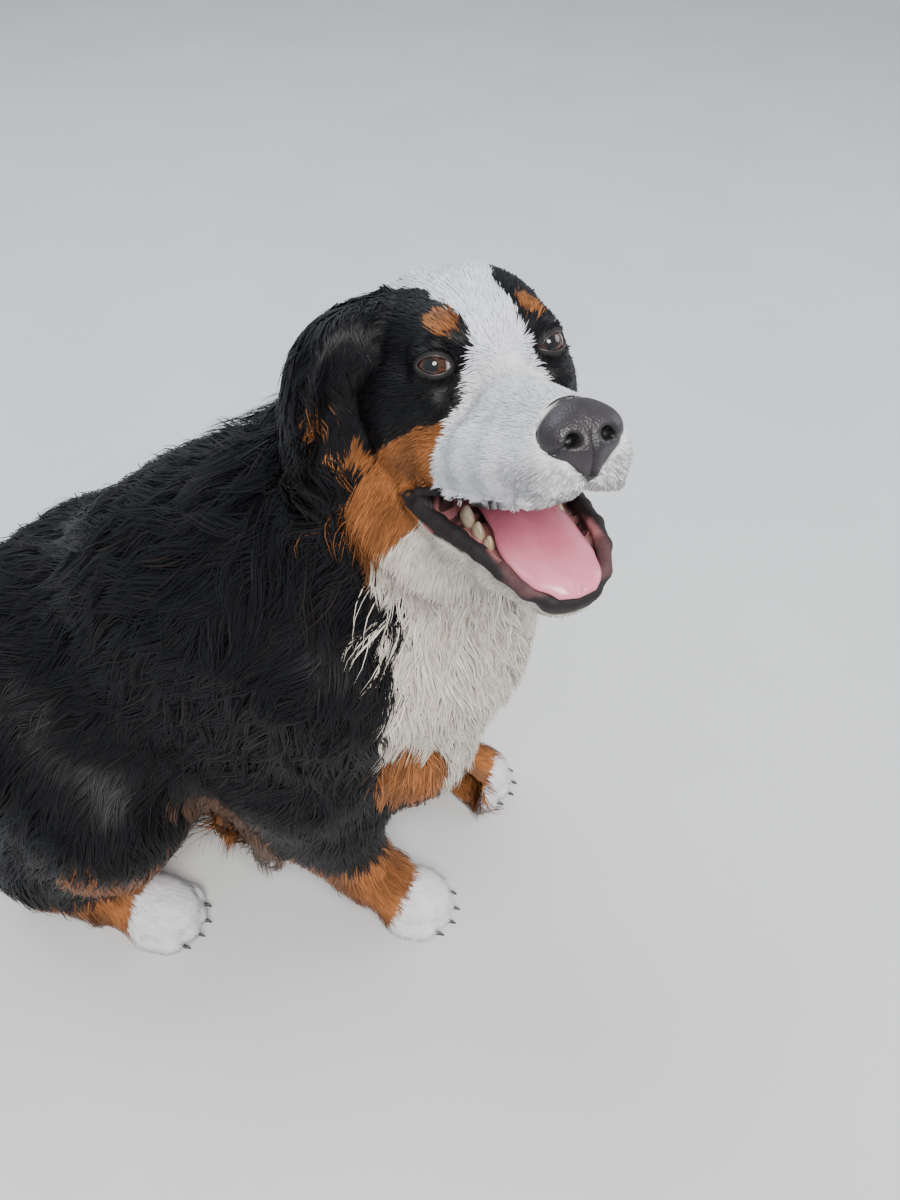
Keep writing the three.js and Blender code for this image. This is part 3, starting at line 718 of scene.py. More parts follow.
def around_features(p):
    h = to_head(p)
    mouth = (h[:, 0] > -66) & (np.abs(gape(h)) < 11) & (h[:, 2] > -158)
    return near_eye(h, [0, 44, 0], 24) | mouth


def around_paws(p):
    x, y, z = p.T
    return (z < 62) & (between(x, -75, 90) | between(x, -370, -235) & (np.abs(y) > 120))


rough_mesh, flesh_tree, face_regions = voxel_skin()
skin_bm = bmesh.new()
skin_bm.from_mesh(rough_mesh)
largest_part(skin_bm)
for _ in range(8):
    bmesh.ops.smooth_vert(
        skin_bm, verts=skin_bm.verts, factor=0.5, use_axis_x=True, use_axis_y=True, use_axis_z=True,
    )
refine(skin_bm, lambda p: around_head(p) | around_paws(p))
refine(skin_bm, around_features)
refine(skin_bm, lambda p: near_eye(to_head(p), [1, 43, 0], 17))
bmesh.ops.triangulate(skin_bm, faces=skin_bm.faces)
skin_mesh = bpy.data.meshes.new("skin")
skin_bm.to_mesh(skin_mesh)
skin_bm.free()


class Skin:
    """The skin's points and what is known at each of them."""

    def __init__(self, mesh):
        self.co = to_dog(read_rows(mesh.vertices, "co", 3))
        self.edges = read_rows(mesh.edges, "vertices", 2, np.int32)
        self.faces = read_rows(mesh.polygons, "vertices", 3, np.int32)
        self.links = np.maximum(np.bincount(self.edges.ravel(), minlength=len(self.co)), 1)
        self.find_normals()

    def find_normals(self):
        a, b, c = (self.co[self.faces[:, i]] for i in range(3))
        face = np.cross(b - a, c - a)
        self.area = np.linalg.norm(face, axis=1) / 2
        total = np.zeros_like(self.co)
        for i in range(3):
            for axis in range(3):
                total[:, axis] += np.bincount(self.faces[:, i], face[:, axis], len(self.co))
        self.normal = unit(total)

    def relaxed(self, values, turns):
        """Values at the points, each averaged with its neighbours a few times."""
        values = values.astype(float).copy()
        flat = values.reshape(len(values), -1)
        for _ in range(turns):
            for i in range(flat.shape[1]):
                a, b = self.edges.T
                total = np.bincount(a, flat[b, i], len(flat)) + np.bincount(b, flat[a, i], len(flat))
                flat[:, i] = 0.4 * flat[:, i] + 0.6 * total / self.links
        return flat.reshape(values.shape)


skin = Skin(skin_mesh)
nearest_face = [flesh_tree.find_nearest(Vector(p))[2] for p in to_metres(skin.co)]
owner = np.array(face_regions)[nearest_face]


def is_region(*names):
    return np.isin(owner, [region_names.index(n) for n in names])


table = np.array([REGIONS[n] for n in region_names])
depth, tuft_length, tuft_width = (skin.relaxed(table[owner, i], 14) for i in range(3))
# bare places lie just under the solid's surface, and long hair hangs under the belly behind the elbows
heads = to_head(skin.co)
by_mouth = np.minimum(gape(heads), lips(heads))
mouth_side = (heads[:, 0] > -66) & (np.abs(heads[:, 1]) < 75) & (heads[:, 2] > -168)
depth = blend(depth, 0.4, smooth(by_mouth, 9, 2) * mouth_side)
x, y, z = skin.co.T
fringe = smooth(z, 240, 150) * smooth(x, -330, -260) * smooth(x, -110, -160)
tuft_length *= 1 + 1.1 * fringe
short_face = smooth(heads[:, 0], -45, 5) * is_region("head") + 0.5 * smooth(by_mouth, 16, 8) * mouth_side
tuft_length *= 1 - 0.42 * np.minimum(short_face, 1)
tail_end = smooth(y, 170, 230) * is_region("tail")
tuft_length *= 1 - 0.4 * tail_end
on_skull = skin.relaxed((is_region("head", "muzzle", "lower_jaw")).astype(float), 6)

# the head and the feet are brought to their exact shapes, inside the coat's depth
fine = (on_skull > 0.5) & (heads[:, 0] > -100)
wanted = skin.co.copy()
wanted[fine] = from_head(settle(heads[fine], head_field, -np.minimum(depth[fine], 4), turns=8))
weight = skin.relaxed(fine.astype(float), 3) * fine
for paw, radii, reach in PAWS.values():
    near = np.linalg.norm((skin.co - np.array(paw)) / (np.array(radii) + [22, 14, 16]), axis=1) < 1
    near &= is_region("forepaw", "hindpaw")
    wanted[near] = settle(skin.co[near], paw_field(paw, radii, reach), -1.0, turns=6)
    weight[near] = smooth(skin.co[near, 0] - paw[0], -22, 6)
inset = np.where(weight > 0.5, 0, depth) * smooth(skin.co[:, 2], 1.5, 22)
for _ in range(4):
    skin.co -= skin.normal * (skin.relaxed(inset, 4) / 4)[:, None]
    skin.co = mix(skin.co, skin.relaxed(skin.co, 1), 0.5)
    skin.find_normals()
skin.co = mix(skin.co, wanted, weight)
skin.co[:, 2] = np.maximum(skin.co[:, 2], 0.6)
join = (weight > 0.02) & (weight < 0.98)
skin.co[join] = skin.relaxed(skin.co, 3)[join]
skin.find_normals()


# The eyelids: inside the opening the skin sinks behind the eye, and at its edge it is as thick as a lid
EYES = {}
for word, sign in (("left", 1), ("right", -1)):
    centre = np.array([EYE_AT[0], sign * EYE_AT[1], EYE_AT[2]], float)
    facing = unit(np.array([0.93, sign * 0.36, 0.03]))
    outer = unit(np.array([-0.46, sign * 0.86, 0.16]))  # towards the outer corner
    outer = unit(outer - facing * (outer @ facing))
    EYES[word] = (centre, facing, outer, np.cross(facing, outer) * sign)
OPEN_WIDE, OPEN_HIGH = 0.86, 0.48  # halves of the opening, as shares of the eye's radius


def opening(u):
    """Heights of the upper and the lower lid's edge above the middle, at u from corner to corner."""
    arch = np.clip(1 - (u / OPEN_WIDE) ** 2, 0, 1)
    return OPEN_HIGH * arch**0.62, -0.86 * OPEN_HIGH * arch**0.8


def by_lids(heads, eye):
    """How far each place lies from the eye's centre, on which side, and past the opening's edge."""
    centre, facing, outer, up = eye
    away = heads - centre
    far = np.linalg.norm(away, axis=1)
    u, v = away @ outer / far, away @ up / far
    high, low = opening(u)
    past = np.maximum(np.maximum(v - high, low - v), (np.abs(u) - OPEN_WIDE) * 1.2)
    return far, away @ facing > 0, past


LID_THICKNESS = 1.5
heads = to_head(skin.co)
under_nose = smooth(-nose_shape(heads), -0.5, 4)
heads[:, 0] -= 12 * under_nose  # leaves room for the nostrils
for eye in EYES.values():
    far, before, past = by_lids(heads, eye)
    near = (far < EYE_RADIUS + 9) & before
    lid = EYE_RADIUS + LID_THICKNESS + 0.5 * np.exp(-((past - 0.16) / 0.13) ** 2)
    edge = near & (past >= 0) & (past < 0.5)
    new_far = np.where(edge, blend(far, lid, smooth(past, 0.5, 0.2)), far)
    new_far = np.where(near & (past >= 0), np.maximum(new_far, EYE_RADIUS + LID_THICKNESS), new_far)
    new_far = np.where(near & (past < 0), EYE_RADIUS * 0.8, new_far)
    moved = near & (new_far != far)
    heads[moved] = eye[0] + (heads[moved] - eye[0]) * (new_far / far)[moved, None]
skin.co = from_head(heads)
skin.find_normals()

# colours of the skin, with painted shade under a deep coat, and of the bare places: lips, gums and the rims
# of the eyes
x, y, z = heads.T
skin_tint = coat_colour(skin.co, 0.5)
# painted shade: the skin darkens where the coat over it is deep, and less where the hair is pale
shade = blend(1.0, 0.55, smooth(depth, 6, 16))
skin_tint *= blend(shade, 0.5 + shade / 2, smooth(skin_tint.max(1), 0.1, 0.5))[:, None]
in_mouth = (x > -64) & (np.abs(y) < 66) & (z > -168)
inside = smooth(gape_middle(heads * [1, 0, 1]), 4.5, 2.5) * in_mouth
deep = smooth(np.abs(y), 40, 35) * inside
to_low, to_high = low_lip(heads), high_lip(heads)
lip_shade = np.maximum(smooth(to_low, 5, 2.5), smooth(to_high, 2.5, 1.0) * smooth(x, 6, -10))
lip_shade = np.maximum(lip_shade, inside * (1 - deep)) * (x > -66)
skin_tint = mix(skin_tint, LIP, lip_shade)
front_gum = smooth(x, 34, 50) * smooth(z, -100, -112)
gum_spots = np.maximum(smooth(ripple(heads, 9, 21), 0.35, 0.6), front_gum)
gum = np.maximum(deep, inside * smooth(to_low, 4, 6)) * smooth(to_high, 1.5, 3.5)
skin_tint = mix(skin_tint, mix(PINK, LIP, gum_spots * 0.85), gum)
bare = (np.maximum(lip_shade, gum) > 0.3) | (to_low < 6) & in_mouth | (inside > 0.5)
for eye in EYES.values():
    far, before, past = by_lids(heads, eye)
    around_eye = (far < EYE_RADIUS + 8) & before
    skin_tint[around_eye & (past < 0.2)] = LIP * 0.8
    bare |= around_eye & (past < 0.07)
nose_bare = under_nose > 0.02
# the skin under the nose leather is painted near black: the leather's own dark at its edge, and painted
# shade where the sunk nostrils show it
skin_tint[nose_bare] = LIP * 0.5
bare |= nose_bare

skin_mesh.vertices.foreach_set("co", to_metres(skin.co).astype(np.float32).ravel())
skin_mesh.update()
skin_mesh.shade_smooth()
skin_mesh.materials.clear()
skin_mesh.materials.append(skin_material)
set_tint(skin_mesh, np.clip(skin_tint, 0.002, 1))
skin_piece = bpy.data.objects.new("skin", skin_mesh)
bpy.context.scene.collection.objects.link(skin_piece)
bpy.context.view_layer.objects.active = skin_piece
skin_piece.select_set(True)
bpy.ops.object.mode_set(mode="EDIT")
bpy.ops.mesh.select_all(action="SELECT")
bpy.ops.uv.smart_project(angle_limit=math.radians(66), island_margin=0.002)
bpy.ops.object.mode_set(mode="OBJECT")
skin_piece.select_set(False)
skin_mesh.uv_layers[0].name = "OFBake"
corner_uv = read_rows(skin_mesh.uv_layers["OFBake"].uv, "vector", 2).reshape(-1, 3, 2)
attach(skin_piece, "root")
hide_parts(*FLESH)

# The lie of the coat
HEAD_GUIDES = [
    # place and direction in the head's frame, for both sides where either leaves the middle
    ((110, 0, -20), (-1, 0, 0.1)), ((60, 0, -10), (-1, 0, 0.05)), ((0, 0, 30), (-1, 0, 0.6)),
    ((-60, 0, 64), (-1, 0, 0)), ((-125, 0, 30), (-0.6, 0, -1)), ((112, 20, -62), (-0.7, 0.7, -0.6)),
    ((80, 38, -50), (-1, 0.1, -0.3)), ((20, 50, -50), (-1, 0.3, -0.3)),
    ((-50, 75, -40), (-0.75, 0.3, -0.6)), ((-90, 90, -60), (-0.55, 0.3, -0.8)),
    ((-30, 60, 0), (-0.9, 0.3, -0.1)), ((-60, 62, 35), (-1, 0.3, -0.2)), ((0, 40, 18), (-0.6, 0.5, 0.7)),
    ((5, 46, -16), (-0.8, 0.5, -0.4)), ((50, 34, -140), (-1, 0.1, -0.4)), ((20, 0, -155), (-1, 0, -0.3)),
    ((-50, 0, -140), (-0.7, 0, -0.7)), ((-60, 60, -120), (-0.7, 0.2, -0.7)),
]
BODY_GUIDES = [
    ((-90, 0, 640), (-0.8, 0, -0.6)), ((-60, 100, 560), (-0.05, -0.05, -1)), ((30, -50, 560), (0, 0, -1)),
    ((60, 0, 430), (0, 0, -1)), ((40, 80, 380), (0.1, -0.1, -1)), ((30, 0, 250), (0, 0, -1)),
    ((-200, 0, 560), (-0.85, 0, -0.5)), ((-360, 0, 450), (-0.78, 0, -0.62)),
    ((-520, 0, 340), (-0.65, 0, -0.75)), ((-640, 0, 200), (-0.6, 0, -0.8)),
    ((-120, 130, 440), (-0.5, 0, -0.87)), ((-280, 155, 340), (-0.6, 0, -0.8)),
    ((-230, 140, 230), (-0.5, 0, -0.87)), ((-420, 210, 230), (-0.4, 0.1, -0.9)),
    ((-340, 215, 150), (-0.35, 0, -0.93)), ((-560, 150, 180), (-0.5, 0, -0.86)),
    ((-110, 130, 260), (-0.25, 0, -1)), ((-80, 100, 150), (0, 0, -1)), ((-190, 120, 200), (-0.7, 0, -0.7)),
    ((-20, 94, 55), (0.85, 0, -0.5)), ((-300, 188, 55), (0.85, 0, -0.4)),
    ((-400, 186, 50), (0.5, 0.1, -0.85)), ((-300, 0, 100), (-0.7, 0, -0.7)),
]
TAIL_GUIDES = [
    ((-690, 20, 62), (-0.9, 0.35, -0.1)), ((-770, 62, 52), (-0.8, 0.6, -0.05)),
    ((-840, 125, 47), (-0.6, 0.8, 0)), ((-890, 220, 40), (-0.2, 1, 0)),
]


def guides():
    """Places in the dog's frame, and the way that the coat lies at each of them."""
    places, ways = [], []
    for listed, origin, turn in (
        (HEAD_GUIDES, HEAD_AT, HEAD_TURN), (BODY_GUIDES, np.zeros(3), np.eye(3)),
    ):
        for place, way in listed:
            for sign in ((1, -1) if place[1] or way[1] else (1,)):
                mirror = np.array([1, sign, 1])
                places.append((place * mirror) @ turn.T + origin)
                ways.append((way * mirror) @ turn.T)
    for place, way in TAIL_GUIDES:
        places.append(place)
        ways.append(way)
    return np.array(places, float), unit(np.array(ways, float))


flow = np.zeros_like(skin.co)
for place, way in zip(*guides()):
    near = 1 / (((skin.co - place) ** 2).sum(1) + 20**2) ** 1.6
    flow += near[:, None] * way
flow = unit(flow)
flow[is_region("ear")] = unit(np.array([-0.25, 0, -1.0])) @ HEAD_TURN.T
flow = unit(skin.relaxed(flow, 6))
flow -= skin.normal * (flow * skin.normal).sum(1)[:, None]
flow = unit(flow + 1e-4)
skin_tree = point_tree(skin.co)


# Tufts
HANGING = np.array([-0.25, 0.0, -0.97])
ROOT_DEPTH = 0.8  # how far a root sinks into the skin
FLOOR_GAP = 0.8  # how near a tuft comes to the floor


def strands(roots, normals, ways, length, height, steps, wave, phase, turns, hang):
    """Walks strands from their roots over the skin, rising to their heights, or lets them hang clear."""
    place = roots - normals * ROOT_DEPTH
    way = ways.copy()
    walked = [place]
    ups = [normals]
    for k in range(1, steps + 1):
        share = k / steps
        stride = (length / steps)[:, None]
        place = place + way * stride
        near = np.array([skin_tree.find(p)[1] for p in place])
        up = skin.normal[near]
        above = ((place - skin.co[near]) * up).sum(1)
        rise = height * (1 - (1 - share) ** 1.7)
        rise = np.clip(rise - above, -0.5 * stride[:, 0], 0.6 * stride[:, 0])
        place = place + up * (np.where(rise > 0, rise, rise * (1 - hang)))[:, None]
        side = unit(np.cross(up, way))
        swing = wave * np.cos(2 * math.pi * (turns * share) + phase) * 2 * math.pi * turns / steps
        bend = side * (swing / stride[:, 0])[:, None]
        way = unit(0.5 * way + 0.5 * mix(flow[near], HANGING, hang) + bend)
        way = unit(way - up * ((way * up).sum(1) * (1 - hang))[:, None])
        place[:, 2] = np.maximum(place[:, 2], FLOOR_GAP)
        walked.append(place)
        ups.append(up)
    return np.stack(walked, 1), np.stack(ups, 1)


def scatter(weights, count):
    """Places on the skin: the face of each, and its share of that face's corners."""
    odds = skin.area * weights[skin.faces].mean(1)
    face = chance.choice(len(skin.faces), count, p=odds / odds.sum())
    a, b = chance.random((2, count))
    flip = a + b > 1
    a[flip], b[flip] = 1 - a[flip], 1 - b[flip]
    return face, np.column_stack([1 - a - b, a, b])


def at(values, face, share):
    corner = values[skin.faces[face]]
    return (corner * (share[..., None] if corner.ndim == 3 else share)).sum(1)


def join_locks(root, per_lock):
    """How many locks there are, and which of them each tuft belongs to: that of the nearest chosen root."""
    locks = (len(root) // per_lock) or 1
    tree = point_tree(root[chance.choice(len(root), locks, replace=False)])
    return locks, np.array([tree.find(p)[1] for p in root])


def pulled_together(path, locks, lock, pull):
    """The strands, each drawn towards the middle of its lock, the more the nearer to its tip."""
    middle = np.zeros((locks, *path.shape[1:]))
    many = np.maximum(np.bincount(lock, minlength=locks), 1)
    for k in range(path.shape[1]):
        for axis in range(3):
            middle[:, k, axis] = np.bincount(lock, path[:, k, axis], locks) / many
    path = path + (middle[lock] - path) * pull[..., None]
    path[..., 2] = np.maximum(path[..., 2], FLOOR_GAP)
    return path


def ribbon(path, across, width):
    """Points of flat tufts about their middle lines, in pairs up to the tip."""
    share = np.linspace(0, 1, path.shape[1])
    profile = np.interp(share, [0, 0.3, 0.7, 1], [0.7, 1.0, 0.75, 0.0])
    half = across[:, :-1] * (width[:, None] * profile[None, :-1])[..., None]
    pairs = np.stack([path[:, :-1] - half, path[:, :-1] + half], 2).reshape(len(path), -1, 3)
    return np.concatenate([pairs, path[:, -1:]], 1)


def ribbon_faces(count, steps):
    faces = []
    for k in range(steps - 1):
        faces += [(2 * k, 2 * k + 1, 2 * k + 3), (2 * k, 2 * k + 3, 2 * k + 2)]
    faces.append((2 * steps - 2, 2 * steps - 1, 2 * steps))
    return (np.array(faces)[None] + (2 * steps + 1) * np.arange(count)[:, None, None]).reshape(-1, 3)


def varied(colour, pale):
    """The tufts' colours, each a little lighter or darker, and some of the black ones rusty."""
    count = len(colour)
    tan = smooth(colour[:, 0] - colour[:, 2], 0.1, 0.3)
    colour = colour * blend(chance.uniform(0.8, 1.12, count), 1, 0.7 * pale * (1 - tan))[:, None]
    colour *= blend(1, chance.uniform(0.5, 1.15, count), tan)[:, None]
    rusty = (colour.max(1) < 0.05) & (chance.random(count) < 0.06)
    colour[rusty] = mix(colour[rusty], BROWNISH, 0.25)
    return colour


def ribbon_tint(colour, pale, steps):
    """Colours of the tufts' points: dark hair is darkened towards its root as painted shade deep in the
    coat, and pale hair is nearly even.
    """
    # painted shade and light: each tuft is darkest at its root, where the coat shades it, and brightest at
    # its tip, where the light reaches
    along = np.interp(np.arange(2 * steps + 1) // 2 / steps, [0, 0.5, 1], [0.5, 0.95, 1.1])
    shade = blend(along[None], 0.88 + 0.12 * along[None], pale[:, None])
    return np.clip(colour[:, None] * shade[..., None], 0.002, 0.86).reshape(-1, 3)


PATCH = 0.0026  # the width of each tuft's patch on the map


def ribbon_uv(face, share, steps):
    """A small patch for each tuft, at its root's place on the skin's own map."""
    root = (corner_uv[face] * share[..., None]).sum(1)
    row = np.arange(2 * steps + 1) // 2 / steps
    column = np.where(np.arange(2 * steps + 1) % 2 == 0, -0.5, 0.5)
    column[-1] = 0
    local = np.column_stack([column, row - 0.5]) * PATCH
    return np.clip(root[:, None] + local, 0, 1).reshape(-1, 2)


def ribbon_normals(up, across, along, even):
    """Normals that lean from the ribbon's own towards the skin's, so that the coat shines as a whole."""
    own = np.cross(across, along)
    own *= np.sign((own * up).sum(2, keepdims=True) + 1e-9)
    soft = unit(own * (1 - even) + up * even)
    bend = across[:, :-1] * 0.5 * (1 - even)
    pairs = np.stack([soft[:, :-1] - bend, soft[:, :-1] + bend], 2)
    return unit(np.concatenate([pairs.reshape(len(soft), -1, 3), soft[:, -1:]], 1).reshape(-1, 3))


def coat(
    name, where, count, steps, wave=0.0, clump=0.0, smoothness=0.7, lift=1.0, hang=0.0, grow=1.0,
    paint=None, per_lock=12,
):
    """One piece of the coat, of count tufts rooted where the weights say."""
    face, share = scatter(where, count)
    root = at(skin.co, face, share)
    normal = unit(at(skin.normal, face, share))
    way = at(flow, face, share) + chance.normal(size=root.shape) * 0.07
    way = unit(way - normal * (way * normal).sum(1)[:, None])
    length = at(tuft_length, face, share) * chance.uniform(0.7, 1.1, count) * grow
    stray = 1 + 0.6 * (chance.random(count) < 0.05)
    height = at(depth, face, share) * chance.uniform(0.35, 1.0, count) * lift * stray + 0.8
    locks, lock = join_locks(root, per_lock)
    phase = chance.uniform(0, 2 * math.pi, locks)[lock] + chance.normal(size=count) * 0.15
    turns = chance.uniform(0.45, 1.0, locks)[lock]
    colour = coat_colour(root) if paint is None else np.tile(paint, (count, 1))
    pale = smooth(colour.max(1), 0.1, 0.6)
    length *= 1 - 0.4 * pale * smooth(length, 30, 55)
    swing = wave * chance.uniform(0.5, 1.3, locks)[lock] * (1 - 0.65 * pale)
    path, up = strands(root, normal, way, length, height, steps, swing, phase, turns, hang)
    if clump:
        pull = clump * np.linspace(0, 1, steps + 1) ** 1.4 * (1 - 0.4 * pale[:, None])
        path = pulled_together(path, locks, lock, pull)
    along = unit(np.gradient(path, axis=1))
    roll = chance.normal(size=(count, 1, 1)) * 0.45
    across = unit(unit(np.cross(along, up)) + up * roll)
    width = at(tuft_width, face, share) * chance.uniform(0.6, 1.25, count) * (1 - 0.25 * pale)
    points = ribbon(path, across, width).reshape(-1, 3)
    colour = varied(colour, pale)
    even = (smoothness + (0.85 - smoothness) * pale)[:, None, None]
    piece = mesh_piece(
        name, points, ribbon_faces(count, steps), coat_material, uv=ribbon_uv(face, share, steps),
        tint=ribbon_tint(colour, pale, steps), normals=ribbon_normals(up, across, along, even),
    )
    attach(piece, "root")


x, y, z = skin.co.T
heads = to_head(skin.co)
hairy = (~bare).astype(float) * smooth(z, 0.5, 4)
on_face = is_region("head", "muzzle", "lower_jaw") * hairy * (gape(heads) > 0.5)
muzzle_or_jaw = is_region("muzzle", "lower_jaw")
denser_muzzle = np.where(is_region("muzzle"), 1.5, 1)
trunk = is_region("trunk") * hairy
front = (x > -230).astype(float)
sparser_below = smooth(skin.normal[:, 2], -0.95, -0.4) * 0.8 + 0.2
tail = is_region("tail") * hairy * (1 + tail_end)
hindleg = is_region("hindleg") * hairy
paws = is_region("forepaw", "hindpaw") * hairy
for name, where, count, steps, style in (
    ("coat_head", on_face * ~muzzle_or_jaw, 37000, 3, {"lift": 0.75, "smoothness": 0.8}),
    ("coat_muzzle", on_face * muzzle_or_jaw * denser_muzzle, 38000, 3, {"lift": 0.75, "smoothness": 0.88}),
    ("coat_ears", is_region("ear") * hairy, 13000, 5, {"wave": 5, "clump": 0.55, "per_lock": 30}),
    ("coat_neck", is_region("neck") * hairy, 18500, 5, {"wave": 8, "clump": 0.6, "per_lock": 34}),
    ("coat_shoulders", trunk * front * sparser_below, 17800, 5, {"wave": 8, "clump": 0.6, "per_lock": 34}),
    ("coat_back", trunk * (1 - front) * sparser_below, 22000, 4, {"wave": 7, "clump": 0.6, "per_lock": 34}),
    ("coat_tail", tail, 12000, 4, {"wave": 5, "clump": 0.5, "per_lock": 24}),
    ("coat_forelegs", is_region("foreleg") * hairy, 17000, 4, {"wave": 2, "clump": 0.4, "per_lock": 20}),
    ("coat_hindlegs", hindleg * sparser_below, 19500, 4, {"wave": 5, "clump": 0.5, "per_lock": 30}),
    ("coat_feet", paws, 14000, 3, {"lift": 0.9, "smoothness": 0.82}),
):
    coat(name, where, count, steps, **style)

# long brown hair hangs from behind each elbow and along the edge of the belly
side = np.abs(y)
elbows = (np.abs(x + 185) < 38) & (np.abs(side - 125) < 34) & (np.abs(z - 225) < 48)
elbows &= skin.normal[:, 0] < 0.25
belly_edge = between(x, -350, -225) & (side > 95) & (np.abs(z - belly_line(x)) < 16)
coat(
    "coat_elbows", elbows * hairy, 4200, 6, wave=5, clump=0.55, smoothness=0.6, hang=0.9, grow=1.9,
    paint=BROWNISH * 2.9, per_lock=24,
)
coat(
    "coat_belly", belly_edge * hairy, 2200, 5, wave=4, clump=0.5, smoothness=0.6, hang=0.8, grow=1.2,
    paint=TAN * 0.75, per_lock=20,
)

# long loose locks stand off the lower ears and the ruff behind them
ruff = is_region("ear") * smooth(heads[:, 2], -20, -60)
ruff += 0.5 * is_region("neck") * smooth(heads[:, 0], -90, -120) * (z > 480)
ruff *= (heads[:, 1] < 0) | (heads[:, 2] > -80)
black_root = coat_colour(skin.co, 0)[:, 0] < 0.05
coat(
    "coat_ruff", ruff * hairy * black_root, 5200, 6, wave=11, clump=0.72, smoothness=0.65, lift=2.3,
    hang=0.25, grow=1.45, per_lock=30,
)


# Eyes
CAMERA_AT = np.array([154.0, -604.0, 1060.0])
IRIS_DARK = np.array([0.022, 0.007, 0.003])
IRIS_LIGHT = np.array([0.075, 0.024, 0.008])
SCLERA = np.array([0.5, 0.44, 0.44])
PUPIL_BLACK = np.full(3, 0.004)
# angles from the gaze, in radians: where the clear dome, the pupil and the iris end
CORNEA = 0.72
PUPIL_EDGE = (0.42, 0.36)
IRIS_EDGE = (0.94, 0.87)
EYE_RINGS, EYE_AROUND = 70, 72
eye_look = tinted(
    "eye", 0.12, 1500, 0.75, detail=3, Coat_Weight=0.6, Coat_Roughness=0.02, Specular_IOR_Level=0.3,
)


def eye_points(centre, gaze, angle, turn):
    """Rings of points about the gaze, which bulge where the cornea is, and two poles."""
    side = unit(np.cross([0, 0, 1], gaze))
    top = np.cross(gaze, side)
    dome, crease = smooth(angle, CORNEA, 0.0), np.exp(-((angle - CORNEA) / 0.05) ** 2)
    reach = EYE_RADIUS + 0.9 * dome - 0.12 * crease
    ring = (
        np.cos(angle)[:, None, None] * gaze
        + np.sin(angle)[:, None, None] * (np.cos(turn)[:, None] * side + np.sin(turn)[:, None] * top)
    )
    points = (centre + ring * reach[:, None, None]).reshape(-1, 3)
    return np.vstack([points, centre + gaze * reach[0], centre - gaze * EYE_RADIUS])


def eye_tint(angle, turn):
    """The pupil, the spokes of the iris with its dark edge, and the white around it, darkened towards the
    corners as painted shade under the lids.
    """
    spoke = 0.5 + 0.5 * np.sin(turn * 23 + 2 * np.sin(turn * 7))
    dark_edge = np.exp(-((angle - 0.90) / 0.11) ** 2)
    iris = mix(IRIS_DARK, IRIS_LIGHT, spoke)[None] * (1 - 0.75 * dark_edge)[:, None, None]
    # painted shade: the white darkens away from the gaze, where the lids shade it
    shaded_sclera = SCLERA * (1 - 0.8 * smooth(angle, 1.0, 1.35))[:, None, None]
    colours = mix(shaded_sclera, iris, smooth(angle, *IRIS_EDGE)[:, None])
    colours = mix(colours, PUPIL_BLACK, smooth(angle, *PUPIL_EDGE)[:, None])
    return np.vstack([colours.reshape(-1, 3), colours[0, 0], colours[-1, 0]])


for word, (centre, facing, outer, up) in EYES.items():
    # both eyes look at the camera, drawn back towards the way that each eye faces
    to_facing, to_outer = (0.9, 0) if word == "left" else (0.2, 0.27)
    gaze = unit(to_head(CAMERA_AT[None])[0] - centre)
    gaze = unit(gaze + facing * to_facing + outer * to_outer)
    domed, plain = np.linspace(0.01, CORNEA, 40), np.linspace(CORNEA + 0.02, math.pi - 0.05, EYE_RINGS - 40)
    angle = np.concatenate([domed, plain])
    turn = np.linspace(0, 2 * math.pi, EYE_AROUND, endpoint=False)
    eye = mesh_piece(
        "eyeball_" + word, from_head(eye_points(centre, gaze, angle, turn)),
        grid_faces(EYE_RINGS, EYE_AROUND) + end_fans(EYE_RINGS, EYE_AROUND), eye_look,
        tint=eye_tint(angle, turn),
    )
    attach(eye, "root")
    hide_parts("eye_" + word)

# a dark rim runs round each opening
RIM_STEPS, RIM_AROUND, RIM_RADIUS = 96, 10, 0.7
rim_look = mottled(
    "lid_rim", 0.4, 700, (0.3, (0.008, 0.006, 0.006)), (0.7, (0.03, 0.02, 0.02)), Coat_Weight=0.15,
)
for word, (centre, facing, outer, up) in EYES.items():
    turn = np.linspace(0, 2 * math.pi, RIM_STEPS, endpoint=False)
    u = OPEN_WIDE * np.cos(turn)
    high, low = opening(u * 0.999)
    v = np.where(np.sin(turn) > 0, high, low)
    w = np.sqrt(np.maximum(1 - u**2 - v**2, 0.01))
    way = unit(u[:, None] * outer + v[:, None] * up + w[:, None] * facing)
    middle = centre + way * (EYE_RADIUS + 0.9)
    along = unit(np.roll(middle, -1, 0) - np.roll(middle, 1, 0))
    cross = np.cross(along, way)
    angle = np.linspace(0, 2 * math.pi, RIM_AROUND, endpoint=False)
    tube = middle[:, None] + RIM_RADIUS * (
        np.cos(angle)[:, None] * way[:, None] + np.sin(angle)[:, None] * cross[:, None]
    )
    faces = grid_faces(RIM_STEPS, RIM_AROUND, looped=True)
    rim = mesh_piece("lid_rim_" + word, from_head(tube.reshape(-1, 3)), faces, rim_look)
    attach(rim, "root")


# Nose
nose_look = tinted("nose_leather", 0.42, 90, 0.6, Specular_IOR_Level=0.45)
bump(nose_look, texture(nose_look, "ShaderNodeTexVoronoi", 620).outputs["Distance"], 0.55, 0.0005)
LEATHER = np.array([0.03, 0.025, 0.028])
# the near black of the nostrils: painted shade deep inside them
NOSTRIL_SHADE = np.array([0.003, 0.0025, 0.0025])

